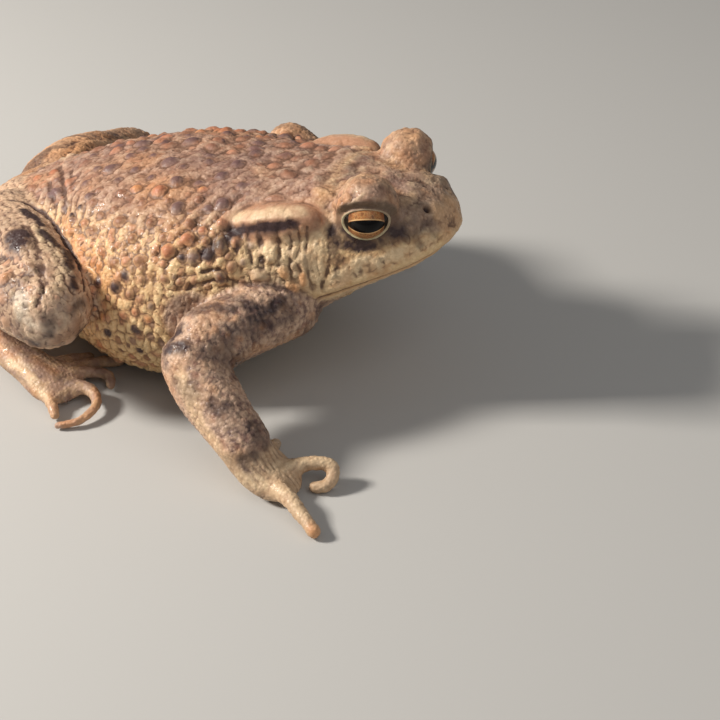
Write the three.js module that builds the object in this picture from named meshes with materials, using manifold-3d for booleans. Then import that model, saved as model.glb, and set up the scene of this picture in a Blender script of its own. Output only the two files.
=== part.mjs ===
// A common toad, crouched in mid-step: head raised, the right hind leg folded forward, the left one
// drawn back. Millimetres. +X is forward, +Y is to the toad's left, +Z is up. The origin is on the flat
// of the belly, which lies on the floor with the palms and the soles. The body is parted into its named
// pieces by thin cuts.
import * as THREE from 'three';
import { mergeVertices } from 'three/addons/utils/BufferGeometryUtils.js';
import Module from 'manifold-3d';

const wasm = await Module();
wasm.setup();

// Driving dimensions.
const snoutX = 42.3;                 // tip of the snout
const ventX = -47;                   // hind end of the body
const snoutRound = 5.6;              // length over which the snout closes
const ventRound = 9.5;               // length over which the rump closes
const cut = 0.3;                     // width of the cuts between pieces
const bodySides = 26;                // sides of the body's cross-section
const bodyRings = 25;                // cross-sections along the body
const squareness = 2.35;             // 2 is an ellipse, more is boxier
const digitSides = 8;
const eyeAt = [30.7, 9.1, 33.2];     // centre of the left eyeball
const eyeRadius = 3.9;
const eyeHeadings = { right: 24, left: 46 };  // where each looks, in degrees ahead of straight out
const lidSlit = [3.9, 2.6, 2.8];     // radii of the opening between the lids
const lidRadii = [4.9, 4.8, 5.3];
const neckTop = [27.2, 36];          // x and z of the neck cut over the crown
const neckFoot = [22.6, 12];         // x and z of the neck cut at the throat
const mouthCorner = [25.2, 20.1];    // x and z
const mouthFront = [42.0, 26.5];     // x and z

// Cross-sections of head and trunk: x, half width, back, height of the widest level, belly.
const bodyRows = [
  [ventX, 8.2, 17.0, 12.2, 6.6],
  [-41, 9.4, 19.8, 12.9, 5.8],
  [-36, 11.2, 22.3, 13.4, 4.8],
  [-30, 13.8, 24.9, 13.8, 3.6],
  [-23, 17.6, 27.7, 13.9, 2.0],
  [-15, 21.8, 30.3, 13.6, 0.3],
  [-6, 24.8, 32.2, 13.4, -0.6],
  [3, 24.7, 33.4, 14.2, -0.4],
  [10, 22.2, 34.1, 16.2, 2.6],
  [16, 19.0, 34.8, 18.6, 7.6],
  [22, 16.7, 35.8, 21.2, 12.8],
  [26, 15.0, 36.1, 22.6, 16.2],
  [30, 13.2, 35.8, 24.0, 19.0],
  [34, 11.3, 35.1, 25.4, 21.4],
  [38, 9.2, 34.2, 27.0, 23.6],
  [snoutX, 7.2, 33.3, 28.6, 25.6],
];

// Limb paths from root to tip: x, y, z, half width, half height.
const rightArm = {
  upper: [[21.5, -9, 17.6, 6.0, 6.0], [15.6, -21, 17.2, 5.2, 5.2], [8.6, -29.6, 14.8, 5.4, 5.4]],
  fore: [[9.0, -26.4, 17.6, 5.1, 5.1], [12.0, -29.9, 12.8, 4.9, 4.9], [17.6, -33.2, 8.8, 4.4, 4.3],
    [25.2, -36.8, 4.0, 3.9, 3.7]],
  hand: [[19.2, -34.2, 8.0, 3.8, 3.6], [23.4, -35.7, 4.4, 4.1, 3.3], [27.4, -36.8, 2.3, 4.3, 2.4],
    [31.8, -37.6, 1.3, 4.0, 1.6]],
};
const leftArm = {
  upper: [[21.5, 9, 18.6, 6.2, 6.2], [12.5, 17.2, 22.4, 4.8, 4.8], [1.0, 23.2, 26.4, 3.9, 3.9]],
  fore: [[3.2, 20.8, 28.6, 3.9, 3.9], [4.0, 24.0, 21.6, 4.7, 4.7], [6.2, 27.8, 13.6, 4.7, 4.6],
    [10.0, 32.0, 4.4, 4.0, 3.8]],
  hand: [[5.6, 29.0, 10.4, 3.7, 3.6], [8.6, 31.2, 4.6, 4.2, 3.3], [12.2, 32.4, 2.3, 4.4, 2.4],
    [16.4, 32.8, 1.3, 4.0, 1.6]],
};
const rightLeg = {
  thigh: [[-37, -3, 14.4, 7.8, 7.8], [-30, -13.6, 16.9, 7.5, 7.5], [-22, -20.6, 18.3, 6.9, 6.9],
    [-9.4, -31.2, 16.8, 5.6, 5.8]],
  shank: [[-8.4, -31.0, 17.2, 5.6, 5.8], [-15, -28.8, 17.0, 6.0, 6.2], [-23, -25.6, 16.4, 6.0, 6.2],
    [-31, -21.4, 14.2, 5.1, 5.2], [-37.4, -18.2, 11.2, 3.9, 4.0], [-43.0, -15.2, 8.6, 3.2, 3.2]],
  foot: [[-43.4, -15.4, 10.4, 3.1, 3.1], [-37.0, -19.0, 7.4, 3.1, 3.0], [-28, -23.6, 4.2, 3.2, 2.8],
    [-20.5, -26.4, 3.0, 3.6, 2.5], [-15.6, -27.8, 2.2, 4.6, 2.1], [-10.8, -28.6, 1.3, 4.4, 1.5]],
};
const leftLeg = {
  thigh: [[-35, 2, 14.4, 7.8, 7.8], [-35.5, 14.5, 15.2, 7.2, 7.0], [-36.4, 24.0, 12.6, 6.5, 6.3],
    [-34.2, 38.4, 9.0, 5.2, 5.2]],
  shank: [[-33.8, 38.8, 9.8, 5.2, 5.2], [-37.8, 32.0, 9.0, 5.7, 5.6], [-43.0, 24.6, 7.6, 5.0, 5.0],
    [-47.0, 18.2, 5.8, 3.6, 3.7], [-50.4, 12.2, 4.2, 3.1, 3.1]],
  foot: [[-51.6, 13.8, 4.8, 3.0, 3.0], [-44.6, 16.0, 4.0, 3.1, 2.9], [-36.6, 19.0, 3.0, 3.5, 2.5],
    [-30.6, 21.6, 2.2, 4.6, 2.1], [-25.8, 23.6, 1.3, 4.4, 1.5]],
};

// Digits: x, y, z, radius. The innermost is number 1.
const rightFingers = [
  [[22.6, -33.6, 4.0, 1.5], [19.4, -30.6, 2.4, 1.25], [17.0, -28.6, 0.9, 1.05]],
  [[24.6, -34.6, 3.4, 1.6], [24.0, -30.6, 2.4, 1.25], [23.4, -27.0, 0.9, 1.05]],
  [[27.6, -35.6, 2.8, 1.6], [32.0, -32.7, 3.5, 1.25], [34.9, -31.8, 3.0, 1.15], [35.1, -34.0, 1.4, 1.1],
    [32.2, -35.3, 0.9, 1.05]],
  [[28.0, -38.6, 2.4, 1.7], [31.4, -40.4, 2.6, 1.4], [35.0, -42.8, 1.7, 1.15], [38.2, -45.0, 0.95, 1.1]],
];
const rightToes = [
  [[-19.0, -25.0, 2.4, 1.5], [-16.6, -20.6, 1.8, 1.2], [-14.6, -17.2, 0.9, 1.05]],
  [[-16.4, -26.0, 2.4, 1.5], [-13.2, -20.4, 1.9, 1.2], [-9.4, -16.0, 0.9, 1.05]],
  [[-15.0, -26.0, 2.4, 1.5], [-11.8, -23.2, 2.4, 1.15], [-8.8, -22.4, 1.9, 0.95], [-7.4, -24.4, 0.8, 0.85]],
  [[-14.0, -28.2, 2.2, 1.7], [-9.4, -27.4, 2.3, 1.25], [-6.6, -30.0, 1.9, 1.0], [-7.2, -33.8, 1.2, 0.85],
    [-10.8, -36.4, 0.65, 0.75]],
  [[-16.0, -29.8, 2.2, 1.5], [-13.6, -32.2, 1.8, 1.15], [-11.2, -34.8, 0.75, 0.9]],
];
// The other hand and foot fan their digits: root, then each digit's heading in degrees, length and radius.
const leftFingers = {
  root: [12.4, 32.4, 2.3],
  digits: [[-62, 8.5, 1.25], [-30, 9, 1.25], [-2, 11.5, 1.3], [32, 9.5, 1.3]],
};
const leftToes = {
  root: [-31.5, 21.2, 2.3],
  digits: [[-46, 9, 1.25], [-22, 12, 1.3], [2, 16, 1.4], [24, 21, 1.45], [50, 14.5, 1.4]],
};

// Colours of the materials.
const backColour = 0x9a6a4c;
const flankColour = 0xc39a66;
const legColour = 0xb08a5e;
const glandColour = 0xb5754a;
const eyeColour = 0xc47a35;

// A smooth value through the rows at x: cubic pieces whose slope at a row is the slope between its
// neighbours.
function rowAt(rows, x) {
  let i = 0;
  while (i < rows.length - 2 && x > rows[i + 1][0]) i += 1;
  const slope = (k, c) => {
    const a = rows[Math.max(k - 1, 0)];
    const b = rows[Math.min(k + 1, rows.length - 1)];
    return (b[c] - a[c]) / (b[0] - a[0]);
  };
  const [a, b] = [rows[i], rows[i + 1]];
  const span = b[0] - a[0];
  const t = (x - a[0]) / span;
  return a.map((value, c) => {
    if (c === 0) return x;
    const [h1, h2] = [t * t * (3 - 2 * t), t * t * (t - 1)];
    const h3 = t * (t - 1) * (t - 1);
    return value + (b[c] - value) * h1 + span * (slope(i, c) * h3 + slope(i + 1, c) * h2);
  });
}

// How far a rounded end has opened at a distance from its tip: a quarter of an ellipse.
function opening(distance, length) {
  const s = Math.min(distance / length, 1);
  return Math.sqrt(Math.max(1 - (1 - s) * (1 - s), 0));
}

// A closed surface through rings of points, all of one count and turning the same way, with a fan to
// each end.
function skinOver(rings, ends) {
  const sides = rings[0].length;
  const last = rings.length - 1;
  const points = [...rings.flat(), ...ends];
  const faces = [];
  for (let j = 0; j < sides; j += 1) {
    const k = (j + 1) % sides;
    faces.push(points.length - 2, k, j, points.length - 1, last * sides + j, last * sides + k);
    for (let i = 0; i < last; i += 1) {
      const [a, b, c, d] = [i * sides + j, i * sides + k, (i + 1) * sides + j, (i + 1) * sides + k];
      faces.push(a, b, c, b, d, c);
    }
  }
  const geometry = new THREE.BufferGeometry();
  geometry.setAttribute('position', new THREE.Float32BufferAttribute(points.flatMap((p) => p.toArray()), 3));
  geometry.setIndex(faces);
  return geometry;
}

// Head and trunk in one, with every cross-section grown by the same margin.
function bodyGeometry(grow = 0) {
  const [start, end] = [ventX - grow, snoutX + grow];
  const rings = [];
  for (let i = 1; i < bodyRings; i += 1) {
    const u = i / bodyRings;
    const x = start + (end - start) * (0.4 * u + 0.3 * (1 - Math.cos(Math.PI * u)));
    const [, halfWidth, back, level, belly] = rowAt(bodyRows, THREE.MathUtils.clamp(x, ventX, snoutX));
    const open = opening(x - start, ventRound) * opening(end - x, snoutRound);
    rings.push(Array.from({ length: bodySides }, (_, j) => {
      const angle = (2 * Math.PI * j) / bodySides;
      const power = (v) => Math.sign(v) * Math.abs(v) ** (2 / squareness);
      const height = Math.sin(angle) > 0 ? back - level : level - belly;
      const across = power(Math.cos(angle)) * (halfWidth * open + grow);
      return new THREE.Vector3(x, across, level + power(Math.sin(angle)) * (height * open + grow));
    }));
  }
  const ends = [start, end].map((x) => {
    const level = rowAt(bodyRows, THREE.MathUtils.clamp(x, ventX, snoutX))[3];
    return new THREE.Vector3(x, 0, level);
  });
  return skinOver(rings, ends);
}

// A limb or digit: an ellipse carried along a smooth path, closing round at both ends.
function limbGeometry(rows, { sides = 12, rings = 9, grow = 0 } = {}) {
  const knots = rows.map((row) => new THREE.Vector3(...row));
  const path = new THREE.CatmullRomCurve3(knots, false, 'centripetal');
  const length = path.getLength();
  const stations = rows.map((row, i) => [i, row[3], row[4] ?? row[3]]);
  const up = new THREE.Vector3(0, 0, 1);
  const sections = [];
  for (let i = 1; i < rings; i += 1) {
    const u = (1 - Math.cos((Math.PI * i) / rings)) / 2;
    const t = path.getUtoTmapping(u);
    const [, wide, high] = rowAt(stations, t * (rows.length - 1));
    const centre = path.getPointAt(u);
    const ahead = path.getTangentAt(u);
    const side = new THREE.Vector3().crossVectors(up, ahead).normalize();
    const over = new THREE.Vector3().crossVectors(ahead, side);
    const open = opening(u * length, wide) * opening((1 - u) * length, wide);
    sections.push(Array.from({ length: sides }, (_, j) => {
      const angle = (2 * Math.PI * j) / sides;
      return centre.clone()
        .addScaledVector(side, Math.cos(angle) * (wide * open + grow))
        .addScaledVector(over, Math.sin(angle) * (high * open + grow));
    }));
  }
  const ends = [0, 1].map((u) => {
    const outwards = path.getTangentAt(u).multiplyScalar((2 * u - 1) * grow);
    return path.getPointAt(u).add(outwards);
  });
  return skinOver(sections, ends);
}

// A ball stretched to three radii, pitched nose-up and turned about the vertical by angles in degrees.
function ballGeometry(at, radii, pitch = 0, heading = 0, around = 14) {
  const geometry = new THREE.SphereGeometry(1, around, Math.round(around * 0.6));
  geometry.rotateX(Math.PI / 2);
  geometry.scale(...radii);
  geometry.rotateY(THREE.MathUtils.degToRad(-pitch));
  geometry.rotateZ(THREE.MathUtils.degToRad(heading));
  geometry.translate(...at);
  return geometry;
}

// The half of space that a normal points into, past a point, as a block large enough for the whole toad.
function halfSpace(point, normal, gap = 0) {
  const size = 300;
  const direction = new THREE.Vector3(...normal).normalize();
  const block = new THREE.BoxGeometry(size, size, size);
  block.translate(0, 0, size / 2 + gap);
  block.applyQuaternion(new THREE.Quaternion().setFromUnitVectors(new THREE.Vector3(0, 0, 1), direction));
  block.translate(...point);
  return block;
}

function solid(geometry) {
  const bare = geometry.clone();
  bare.deleteAttribute('normal');
  bare.deleteAttribute('uv');
  const merged = mergeVertices(bare);
  return new wasm.Manifold(new wasm.Mesh({
    numProp: 3,
    vertProperties: new Float32Array(merged.attributes.position.array),
    triVerts: new Uint32Array(merged.index.array),
  }));
}

const toad = new THREE.Group();
const opposite = (v) => v.map((n) => -n);
const mirrored = (v) => [v[0], -v[1], v[2]];
const aboveFloor = solid(halfSpace([0, 0, 0], [0, 0, 1]));

function addPiece(name, shape, colour, roughness = 0.8) {
  const { numProp, vertProperties, triVerts } = shape.getMesh();
  const geometry = new THREE.BufferGeometry();
  const places = new Float32Array((vertProperties.length / numProp) * 3);
  for (let i = 0; i < places.length; i += 1) {
    places[i] = vertProperties[Math.floor(i / 3) * numProp + (i % 3)];
  }
  geometry.setAttribute('position', new THREE.BufferAttribute(places, 3));
  geometry.setIndex([...triVerts]);
  const material = new THREE.MeshStandardMaterial({ color: colour, roughness, metalness: 0 });
  const mesh = new THREE.Mesh(geometry, material);
  mesh.name = name;
  toad.add(mesh);
}

// Head, jaw and trunk: one body, parted at the neck and along the mouth.
const wholeBody = solid(bodyGeometry()).intersect(aboveFloor);
const bodyWithGap = solid(bodyGeometry(cut));
const neckNormal = [neckTop[1] - neckFoot[1], 0, neckFoot[0] - neckTop[0]];
const neckPoint = [neckFoot[0], 0, neckFoot[1]];
const aheadOfNeck = solid(halfSpace(neckPoint, neckNormal, cut / 2));
const behindNeck = solid(halfSpace(neckPoint, opposite(neckNormal), cut / 2));
addPiece('trunk', wholeBody.intersect(behindNeck), flankColour);

const sides = { right: mirrored, left: (v) => v };
let head = wholeBody.intersect(aheadOfNeck);
for (const place of Object.values(sides)) {
  const lidAt = place([eyeAt[0], eyeAt[1] - 0.2, eyeAt[2] + 0.5]);
  head = head.add(solid(ballGeometry(lidAt, lidRadii, 12)));
}
head = head.intersect(aheadOfNeck);
for (const [side, place] of Object.entries(sides)) {
  const [, across] = place([0, 1, 0]);
  const eye = solid(ballGeometry(place(eyeAt), Array(3).fill(eyeRadius)));
  const socket = solid(ballGeometry(place(eyeAt), Array(3).fill(eyeRadius + cut)));
  const heading = eyeHeadings[side];
  const look = THREE.MathUtils.degToRad(heading);
  const reach = eyeRadius + 0.25;
  const slitAt = place([eyeAt[0] + reach * Math.sin(look), eyeAt[1] + reach * Math.cos(look), eyeAt[2]]);
  const slit = solid(ballGeometry(slitAt, lidSlit, 0, across * -heading));
  head = head.subtract(socket).subtract(slit);
  addPiece(`eye_${side}`, eye, eyeColour, 0.1);
}
const mouthNormal = [mouthFront[1] - mouthCorner[1], 0, mouthCorner[0] - mouthFront[0]];
const mouthPoint = [mouthCorner[0], 0, mouthCorner[1]];
const hingeNormal = [mouthFront[0] - mouthCorner[0], 0, mouthFront[1] - mouthCorner[1]];
const jawSpace = (gap) => solid(halfSpace(mouthPoint, mouthNormal, gap))
  .intersect(solid(halfSpace(mouthPoint, hingeNormal, gap)));
addPiece('lower_jaw', head.intersect(jawSpace(cut / 2)), flankColour);
addPiece('head', head.subtract(jawSpace(-cut / 2)), backColour);

// The parotoid glands, lying on the neck behind the eyes.
for (const [side, place] of Object.entries(sides)) {
  const [, across] = place([0, 1, 0]);
  const gland = solid(ballGeometry(place([17.4, 12.9, 30.9]), [7.6, 3.4, 3.0], 14, across * -7));
  addPiece(`parotoid_${side}`, gland.subtract(bodyWithGap).intersect(behindNeck), glandColour);
}

// A limb is parted at each joint by the plane that halves the bend there.
function partLimb(segments) {
  const shapes = segments.map((rows) => solid(limbGeometry(rows)));
  for (let i = 0; i + 1 < segments.length; i += 1) {
    const [a, b] = [segments[i], segments[i + 1]];
    const before = new THREE.Vector3(...a.at(-1)).sub(new THREE.Vector3(...a.at(-2))).normalize();
    const after = new THREE.Vector3(...b[1]).sub(new THREE.Vector3(...b[0])).normalize();
    const normal = before.add(after).normalize().toArray();
    const joint = [0, 1, 2].map((k) => (a.at(-1)[k] + b[0][k]) / 2);
    shapes[i] = shapes[i].intersect(solid(halfSpace(joint, opposite(normal), cut / 2)));
    shapes[i + 1] = shapes[i + 1].intersect(solid(halfSpace(joint, normal, cut / 2)));
  }
  return shapes.map((shape) => shape.intersect(aboveFloor));
}

function addLimb(side, names, segments, digitName, digits) {
  const shapes = partLimb(segments);
  names.forEach((name, i) => addPiece(`${name}_${side}`, shapes[i].subtract(bodyWithGap), legColour));
  const [wrist, palm] = segments.slice(-2).map((rows) => solid(limbGeometry(rows, { grow: cut })));
  let taken = wrist.add(palm);
  digits.forEach((rows, i) => {
    const fineness = { sides: digitSides, rings: 2 * rows.length };
    const digit = solid(limbGeometry(rows, fineness)).intersect(aboveFloor);
    addPiece(`${digitName}_${i + 1}_${side}`, digit.subtract(taken), legColour);
    taken = taken.add(solid(limbGeometry(rows, { ...fineness, grow: cut })));
  });
}

// Digits fanned from a root: each arches a little and comes down to the floor at its tip.
function fan({ root, digits }) {
  return digits.map(([heading, length, radius]) => [0.1, 0.45, 0.75, 1].map((along, i) => {
    const angle = THREE.MathUtils.degToRad(heading);
    const height = [root[2], root[2] + 0.4, 1.7, 0.9][i];
    return [root[0] + along * length * Math.cos(angle), root[1] + along * length * Math.sin(angle), height,
      radius * (1.1 - 0.25 * along)];
  }));
}

const armNames = ['upper_arm', 'forearm', 'hand'];
const legNames = ['thigh', 'shank', 'foot'];
addLimb('right', armNames, Object.values(rightArm), 'finger', rightFingers);
addLimb('left', armNames, Object.values(leftArm), 'finger', fan(leftFingers));
addLimb('right', legNames, Object.values(rightLeg), 'toe', rightToes);
addLimb('left', legNames, Object.values(leftLeg), 'toe', fan(leftToes));

export default toad;
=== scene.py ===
import bmesh
import bpy
import numpy as np
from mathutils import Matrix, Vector


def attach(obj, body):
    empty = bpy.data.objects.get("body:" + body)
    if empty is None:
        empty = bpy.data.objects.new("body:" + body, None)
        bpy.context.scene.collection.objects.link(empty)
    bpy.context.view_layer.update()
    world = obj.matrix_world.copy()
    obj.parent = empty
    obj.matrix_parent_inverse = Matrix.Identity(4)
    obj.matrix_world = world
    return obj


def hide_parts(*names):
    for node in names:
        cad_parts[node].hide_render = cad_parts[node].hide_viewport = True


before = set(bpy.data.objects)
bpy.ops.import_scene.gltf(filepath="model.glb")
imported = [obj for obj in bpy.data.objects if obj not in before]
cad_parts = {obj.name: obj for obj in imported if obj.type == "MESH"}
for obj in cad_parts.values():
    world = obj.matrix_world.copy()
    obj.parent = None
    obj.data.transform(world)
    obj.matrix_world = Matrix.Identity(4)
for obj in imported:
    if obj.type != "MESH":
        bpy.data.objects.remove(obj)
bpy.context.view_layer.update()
print("frame loaded,", len(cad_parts), "nodes")

mm = 0.001  # places and sizes below are in millimetres
scene = bpy.context.scene

view = {
    "aim": (26, 0, 0),
    "azimuth": 22.5,
    "elevation": 34,
    "distance": 260,
    "lens": 78,
    "sensor": 36,
}


def addCamera(v):
    azimuth, elevation = np.radians(v["azimuth"]), np.radians(v["elevation"])
    back = Vector((
        np.sin(azimuth) * np.cos(elevation),
        -np.cos(azimuth) * np.cos(elevation),
        np.sin(elevation),
    ))
    data = bpy.data.cameras.new("camera")
    data.lens = v["lens"]
    data.sensor_width = v["sensor"]
    data.clip_start = 0.01
    camera = bpy.data.objects.new("camera", data)
    camera.location = (Vector(v["aim"]) + back * v["distance"]) * mm
    camera.rotation_euler = (-back).to_track_quat("-Z", "Y").to_euler()
    scene.collection.objects.link(camera)
    scene.camera = camera


addCamera(view)
print("camera placed")


# Numpy tools

def unit(v):
    # each vector divided by its length
    return v / np.maximum(np.linalg.norm(v, axis=-1, keepdims=True), 1e-9)


def smooth(low, high, value):
    # 0 below low and 1 above high, with an S-curve between; low may be the larger
    t = np.clip((value - low) / (high - low), 0, 1)
    return t * t * (3 - 2 * t)


def rowsAt(rows, at):
    # values through the rows at each place: cubic pieces whose slope at a row is that between its
    # neighbours
    rows = np.array(rows, float)
    key = rows[:, 0]
    before = np.vstack([rows[:1], rows[:-1]])
    after = np.vstack([rows[1:], rows[-1:]])
    slope = (after - before) / (after - before)[:, :1]
    i = np.clip(np.searchsorted(key, at) - 1, 0, len(key) - 2)
    span = (key[i + 1] - key[i])[:, None]
    t = (at - key[i])[:, None] / span
    ease = t * t * (3 - 2 * t)
    bend = slope[i] * t * (t - 1) ** 2 + slope[i + 1] * t * t * (t - 1)
    return rows[i] + (rows[i + 1] - rows[i]) * ease + span * bend


def pathThrough(points, count):
    # count places evenly along a smooth curve through the points, and each place's own number along the
    # list: cubic pieces whose knots stand apart by the square root of the distance
    p = np.array(points, float)
    p = np.vstack([2 * p[0] - p[1], p, 2 * p[-1] - p[-2]])
    gap = np.sqrt(np.linalg.norm(np.diff(p, axis=0), axis=1))[:, None]
    run = np.diff(p, axis=0)
    speed = run[:-1] / gap[:-1] - (p[2:] - p[:-2]) / (gap[:-1] + gap[1:]) + run[1:] / gap[1:]
    fine = np.linspace(0, len(points) - 1, 40 * len(points))
    i = np.minimum(fine.astype(int), len(points) - 2)
    t = (fine - i)[:, None]
    step = gap[i + 1]
    places = (
        p[i + 1] * (1 + 2 * t) * (1 - t) ** 2 + p[i + 2] * t * t * (3 - 2 * t)
        + speed[i] * step * t * (1 - t) ** 2 + speed[i + 1] * step * t * t * (t - 1)
    )
    length = np.concatenate([[0], np.cumsum(np.linalg.norm(np.diff(places, axis=0), axis=1))])
    even = np.asarray(count) * length[-1] if np.ndim(count) else np.linspace(0, length[-1], count)
    spots = np.stack([np.interp(even, length, places[:, k]) for k in range(3)], 1)
    return spots, np.interp(even, length, fine)


def hashed(i, j, k, seed):
    # a number from 0 to 1 for each cell of a lattice: the cell's three numbers, each times a large prime,
    # are mixed bit by bit and look up a seeded table
    table = np.random.RandomState(seed).rand(4096)
    return table[(i * 73856093 ^ j * 19349663 ^ k * 83492791) & 4095]


def noise(points, size, seed):
    # smooth noise from -1 to 1: hashed values at the corners of cubes of this size, eased between; the
    # shift keeps every place on the positive side
    p = points / size + 200.5
    base = np.floor(p).astype(np.int64)
    t = p - base
    t = t * t * (3 - 2 * t)
    total = 0
    for corner in np.ndindex(2, 2, 2):
        weight = np.prod(np.where(np.array(corner), t, 1 - t), axis=1)
        total = total + weight * hashed(*(base + corner).T, seed)
    return total * 2 - 1


def roughNoise(points, size, seed, layers=3):
    # layers of noise, each at half the size and half the strength of the one before
    total = sum(noise(points, size / 2**k, seed + k) / 2**k for k in range(layers))
    return total / (2 - 0.5 ** (layers - 1))


# Closed surfaces: points and faces

def closedSurface(rings, first, last):
    # a surface through rings of points (rings, sides, 3), with a fan to one point at each end
    count, sides = rings.shape[:2]
    points = np.vstack([rings.reshape(-1, 3), first, last])
    j = np.arange(sides)
    k = (j + 1) % sides
    row = np.arange(count - 1)[:, None] * sides
    quads = np.stack([row + j, row + k, row + sides + k, row + sides + j], -1).reshape(-1, 4)
    end = (count - 1) * sides
    opens = np.stack([np.full(sides, end + sides), k, j], 1)
    closes = np.stack([np.full(sides, end + sides + 1), end + j, end + k], 1)
    return points, quads.tolist() + opens.tolist() + closes.tolist()


def opening(distance, length):
    # how far a rounded end has opened at a distance from its tip: a quarter of an ellipse
    s = np.clip(distance / length, 0, 1)
    return np.sqrt(1 - (1 - s) ** 2)


body = {
    "vent": -47,
    "snout": 42.3,
    "ventRound": 9.5,
    "snoutRound": 5.6,
    "squareness": 2.35,
    "rows": [  # x, half width, back, widest level, belly
        (-47, 8.2, 17.0, 12.2, 6.6), (-41, 9.4, 19.8, 12.9, 5.8), (-36, 11.2, 22.3, 13.4, 4.8),
        (-30, 13.8, 24.9, 13.8, 3.6), (-23, 17.6, 27.7, 13.9, 2.0), (-15, 21.8, 30.3, 13.6, 0.3),
        (-6, 24.8, 32.2, 13.4, -0.6), (3, 24.7, 33.4, 14.2, -0.4), (10, 22.2, 34.1, 16.2, 2.6),
        (16, 19.0, 34.8, 18.6, 7.6), (22, 16.7, 35.8, 21.2, 12.8), (26, 15.0, 36.1, 22.6, 16.2),
        (30, 13.2, 35.8, 24.0, 19.0), (34, 11.3, 35.1, 25.4, 21.4), (38, 9.2, 34.2, 27.0, 23.6),
        (42.3, 7.2, 33.3, 28.6, 25.6),
    ],
}


def bodyAt(x, angle):
    # the body's surface at x and an angle in degrees, 90 on the back and 0 at the right side: a superellipse
    # whose half width and heights follow the rows and close round at both ends
    x, angle = np.broadcast_arrays(np.asarray(x, float), np.radians(np.asarray(angle, float)))
    flat = x.ravel()
    _, halfWidth, back, level, belly = rowsAt(body["rows"], flat).T
    end = opening(flat - body["vent"], body["ventRound"]) * opening(body["snout"] - flat, body["snoutRound"])
    turn = angle.ravel()
    power = 2 / body["squareness"]
    across = np.sign(np.cos(turn)) * np.abs(np.cos(turn)) ** power
    rise = np.sign(np.sin(turn)) * np.abs(np.sin(turn)) ** power
    height = np.where(rise > 0, back - level, level - belly)
    points = np.stack([flat, -across * halfWidth * end, level + rise * height * end], -1)
    return points.reshape(x.shape + (3,))


def bodySurface(rings, sides):
    # rings of bodyAt from the vent to the snout, closer together towards the two ends
    u = np.linspace(0, 1, rings + 2)[1:-1]
    x = body["vent"] + (body["snout"] - body["vent"]) * (0.4 * u + 0.3 * (1 - np.cos(np.pi * u)))
    angle = -np.arange(sides) * 360 / sides
    ends = [(x, 0, rowsAt(body["rows"], np.array([x]))[0, 3]) for x in (body["vent"], body["snout"])]
    return closedSurface(bodyAt(x[:, None], angle[None, :] + 180), *ends)


def limbSurface(rows, rings=40, sides=32):
    # an ellipse carried along a smooth path through the rows (x, y, z, half width, half height), which
    # closes round at both ends
    rows = np.array([tuple(row) + (row[3],) * (5 - len(row)) for row in rows], float)
    u = (1 - np.cos(np.linspace(0, np.pi, rings + 2)[1:-1])) / 2
    places, number = pathThrough(rows[:, :3], np.concatenate([[0], u, [1]]))
    length = np.linalg.norm(np.diff(places, axis=0), axis=1).sum()
    sizes = rowsAt(np.column_stack([np.arange(len(rows)), rows[:, 3:]]), number[1:-1])
    ahead = unit(places[2:] - places[:-2])
    side = unit(np.cross((0, 0, 1), ahead))
    over = np.cross(ahead, side)
    end = opening(u * length, sizes[:, 1]) * opening((1 - u) * length, sizes[:, 1])
    angle = np.arange(sides) * 2 * np.pi / sides
    wide, high = (sizes[:, 1] * end)[:, None, None], (sizes[:, 2] * end)[:, None, None]
    turn = angle[None, :, None]
    rings3d = places[1:-1, None] + side[:, None] * np.cos(turn) * wide + over[:, None] * np.sin(turn) * high
    return closedSurface(rings3d, places[0], places[-1])


def ballSurface(at, radii, pitch=0, heading=0, rings=30, sides=40):
    # a ball stretched to three radii, pitched nose-up and turned about the vertical
    polar = np.linspace(0, np.pi, rings + 2)[1:-1, None]
    angle = np.arange(sides)[None, :] * 2 * np.pi / sides
    out = np.sin(polar)
    ring = np.stack([-np.cos(polar) + 0 * angle, out * np.cos(angle), out * np.sin(angle)], -1)
    p, h = np.radians(pitch), np.radians(heading)
    tip = np.array([[np.cos(p), 0, -np.sin(p)], [0, 1, 0], [np.sin(p), 0, np.cos(p)]])
    swing = np.array([[np.cos(h), -np.sin(h), 0], [np.sin(h), np.cos(h), 0], [0, 0, 1]])
    turn = swing @ tip @ np.diag(radii)
    return closedSurface(ring @ turn.T + at, turn @ (-1, 0, 0) + at, turn @ (1, 0, 0) + at)


def webSurface(root, tips, thick=0.45, reach=0.72, sag=0.5):
    # a web between two digits: from one to the other, flat ellipses that span from the root to the free edge,
    # which sags back between the digits
    share = np.linspace(0.02, 0.98, 24)[:, None]
    root, (a, b) = np.array(root, float), np.array(tips, float)
    edge = root + (a * (1 - share) + b * share - root) * (reach - sag * 4 * share * (1 - share) * reach)
    middle, half = (root + edge) / 2, (edge - root) / 2
    angle = np.arange(16)[None, :, None] * 2 * np.pi / 16
    up = np.array((0, 0, 1.0))
    if np.cross(a - root, b - root)[2] < 0:
        angle = -angle
    rings = middle[:, None] - half[:, None] * np.cos(angle) + up * np.sin(angle) * thick
    return closedSurface(rings, middle[0] + (a - root) * 0.01, middle[-1] + (b - root) * 0.01)


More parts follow.
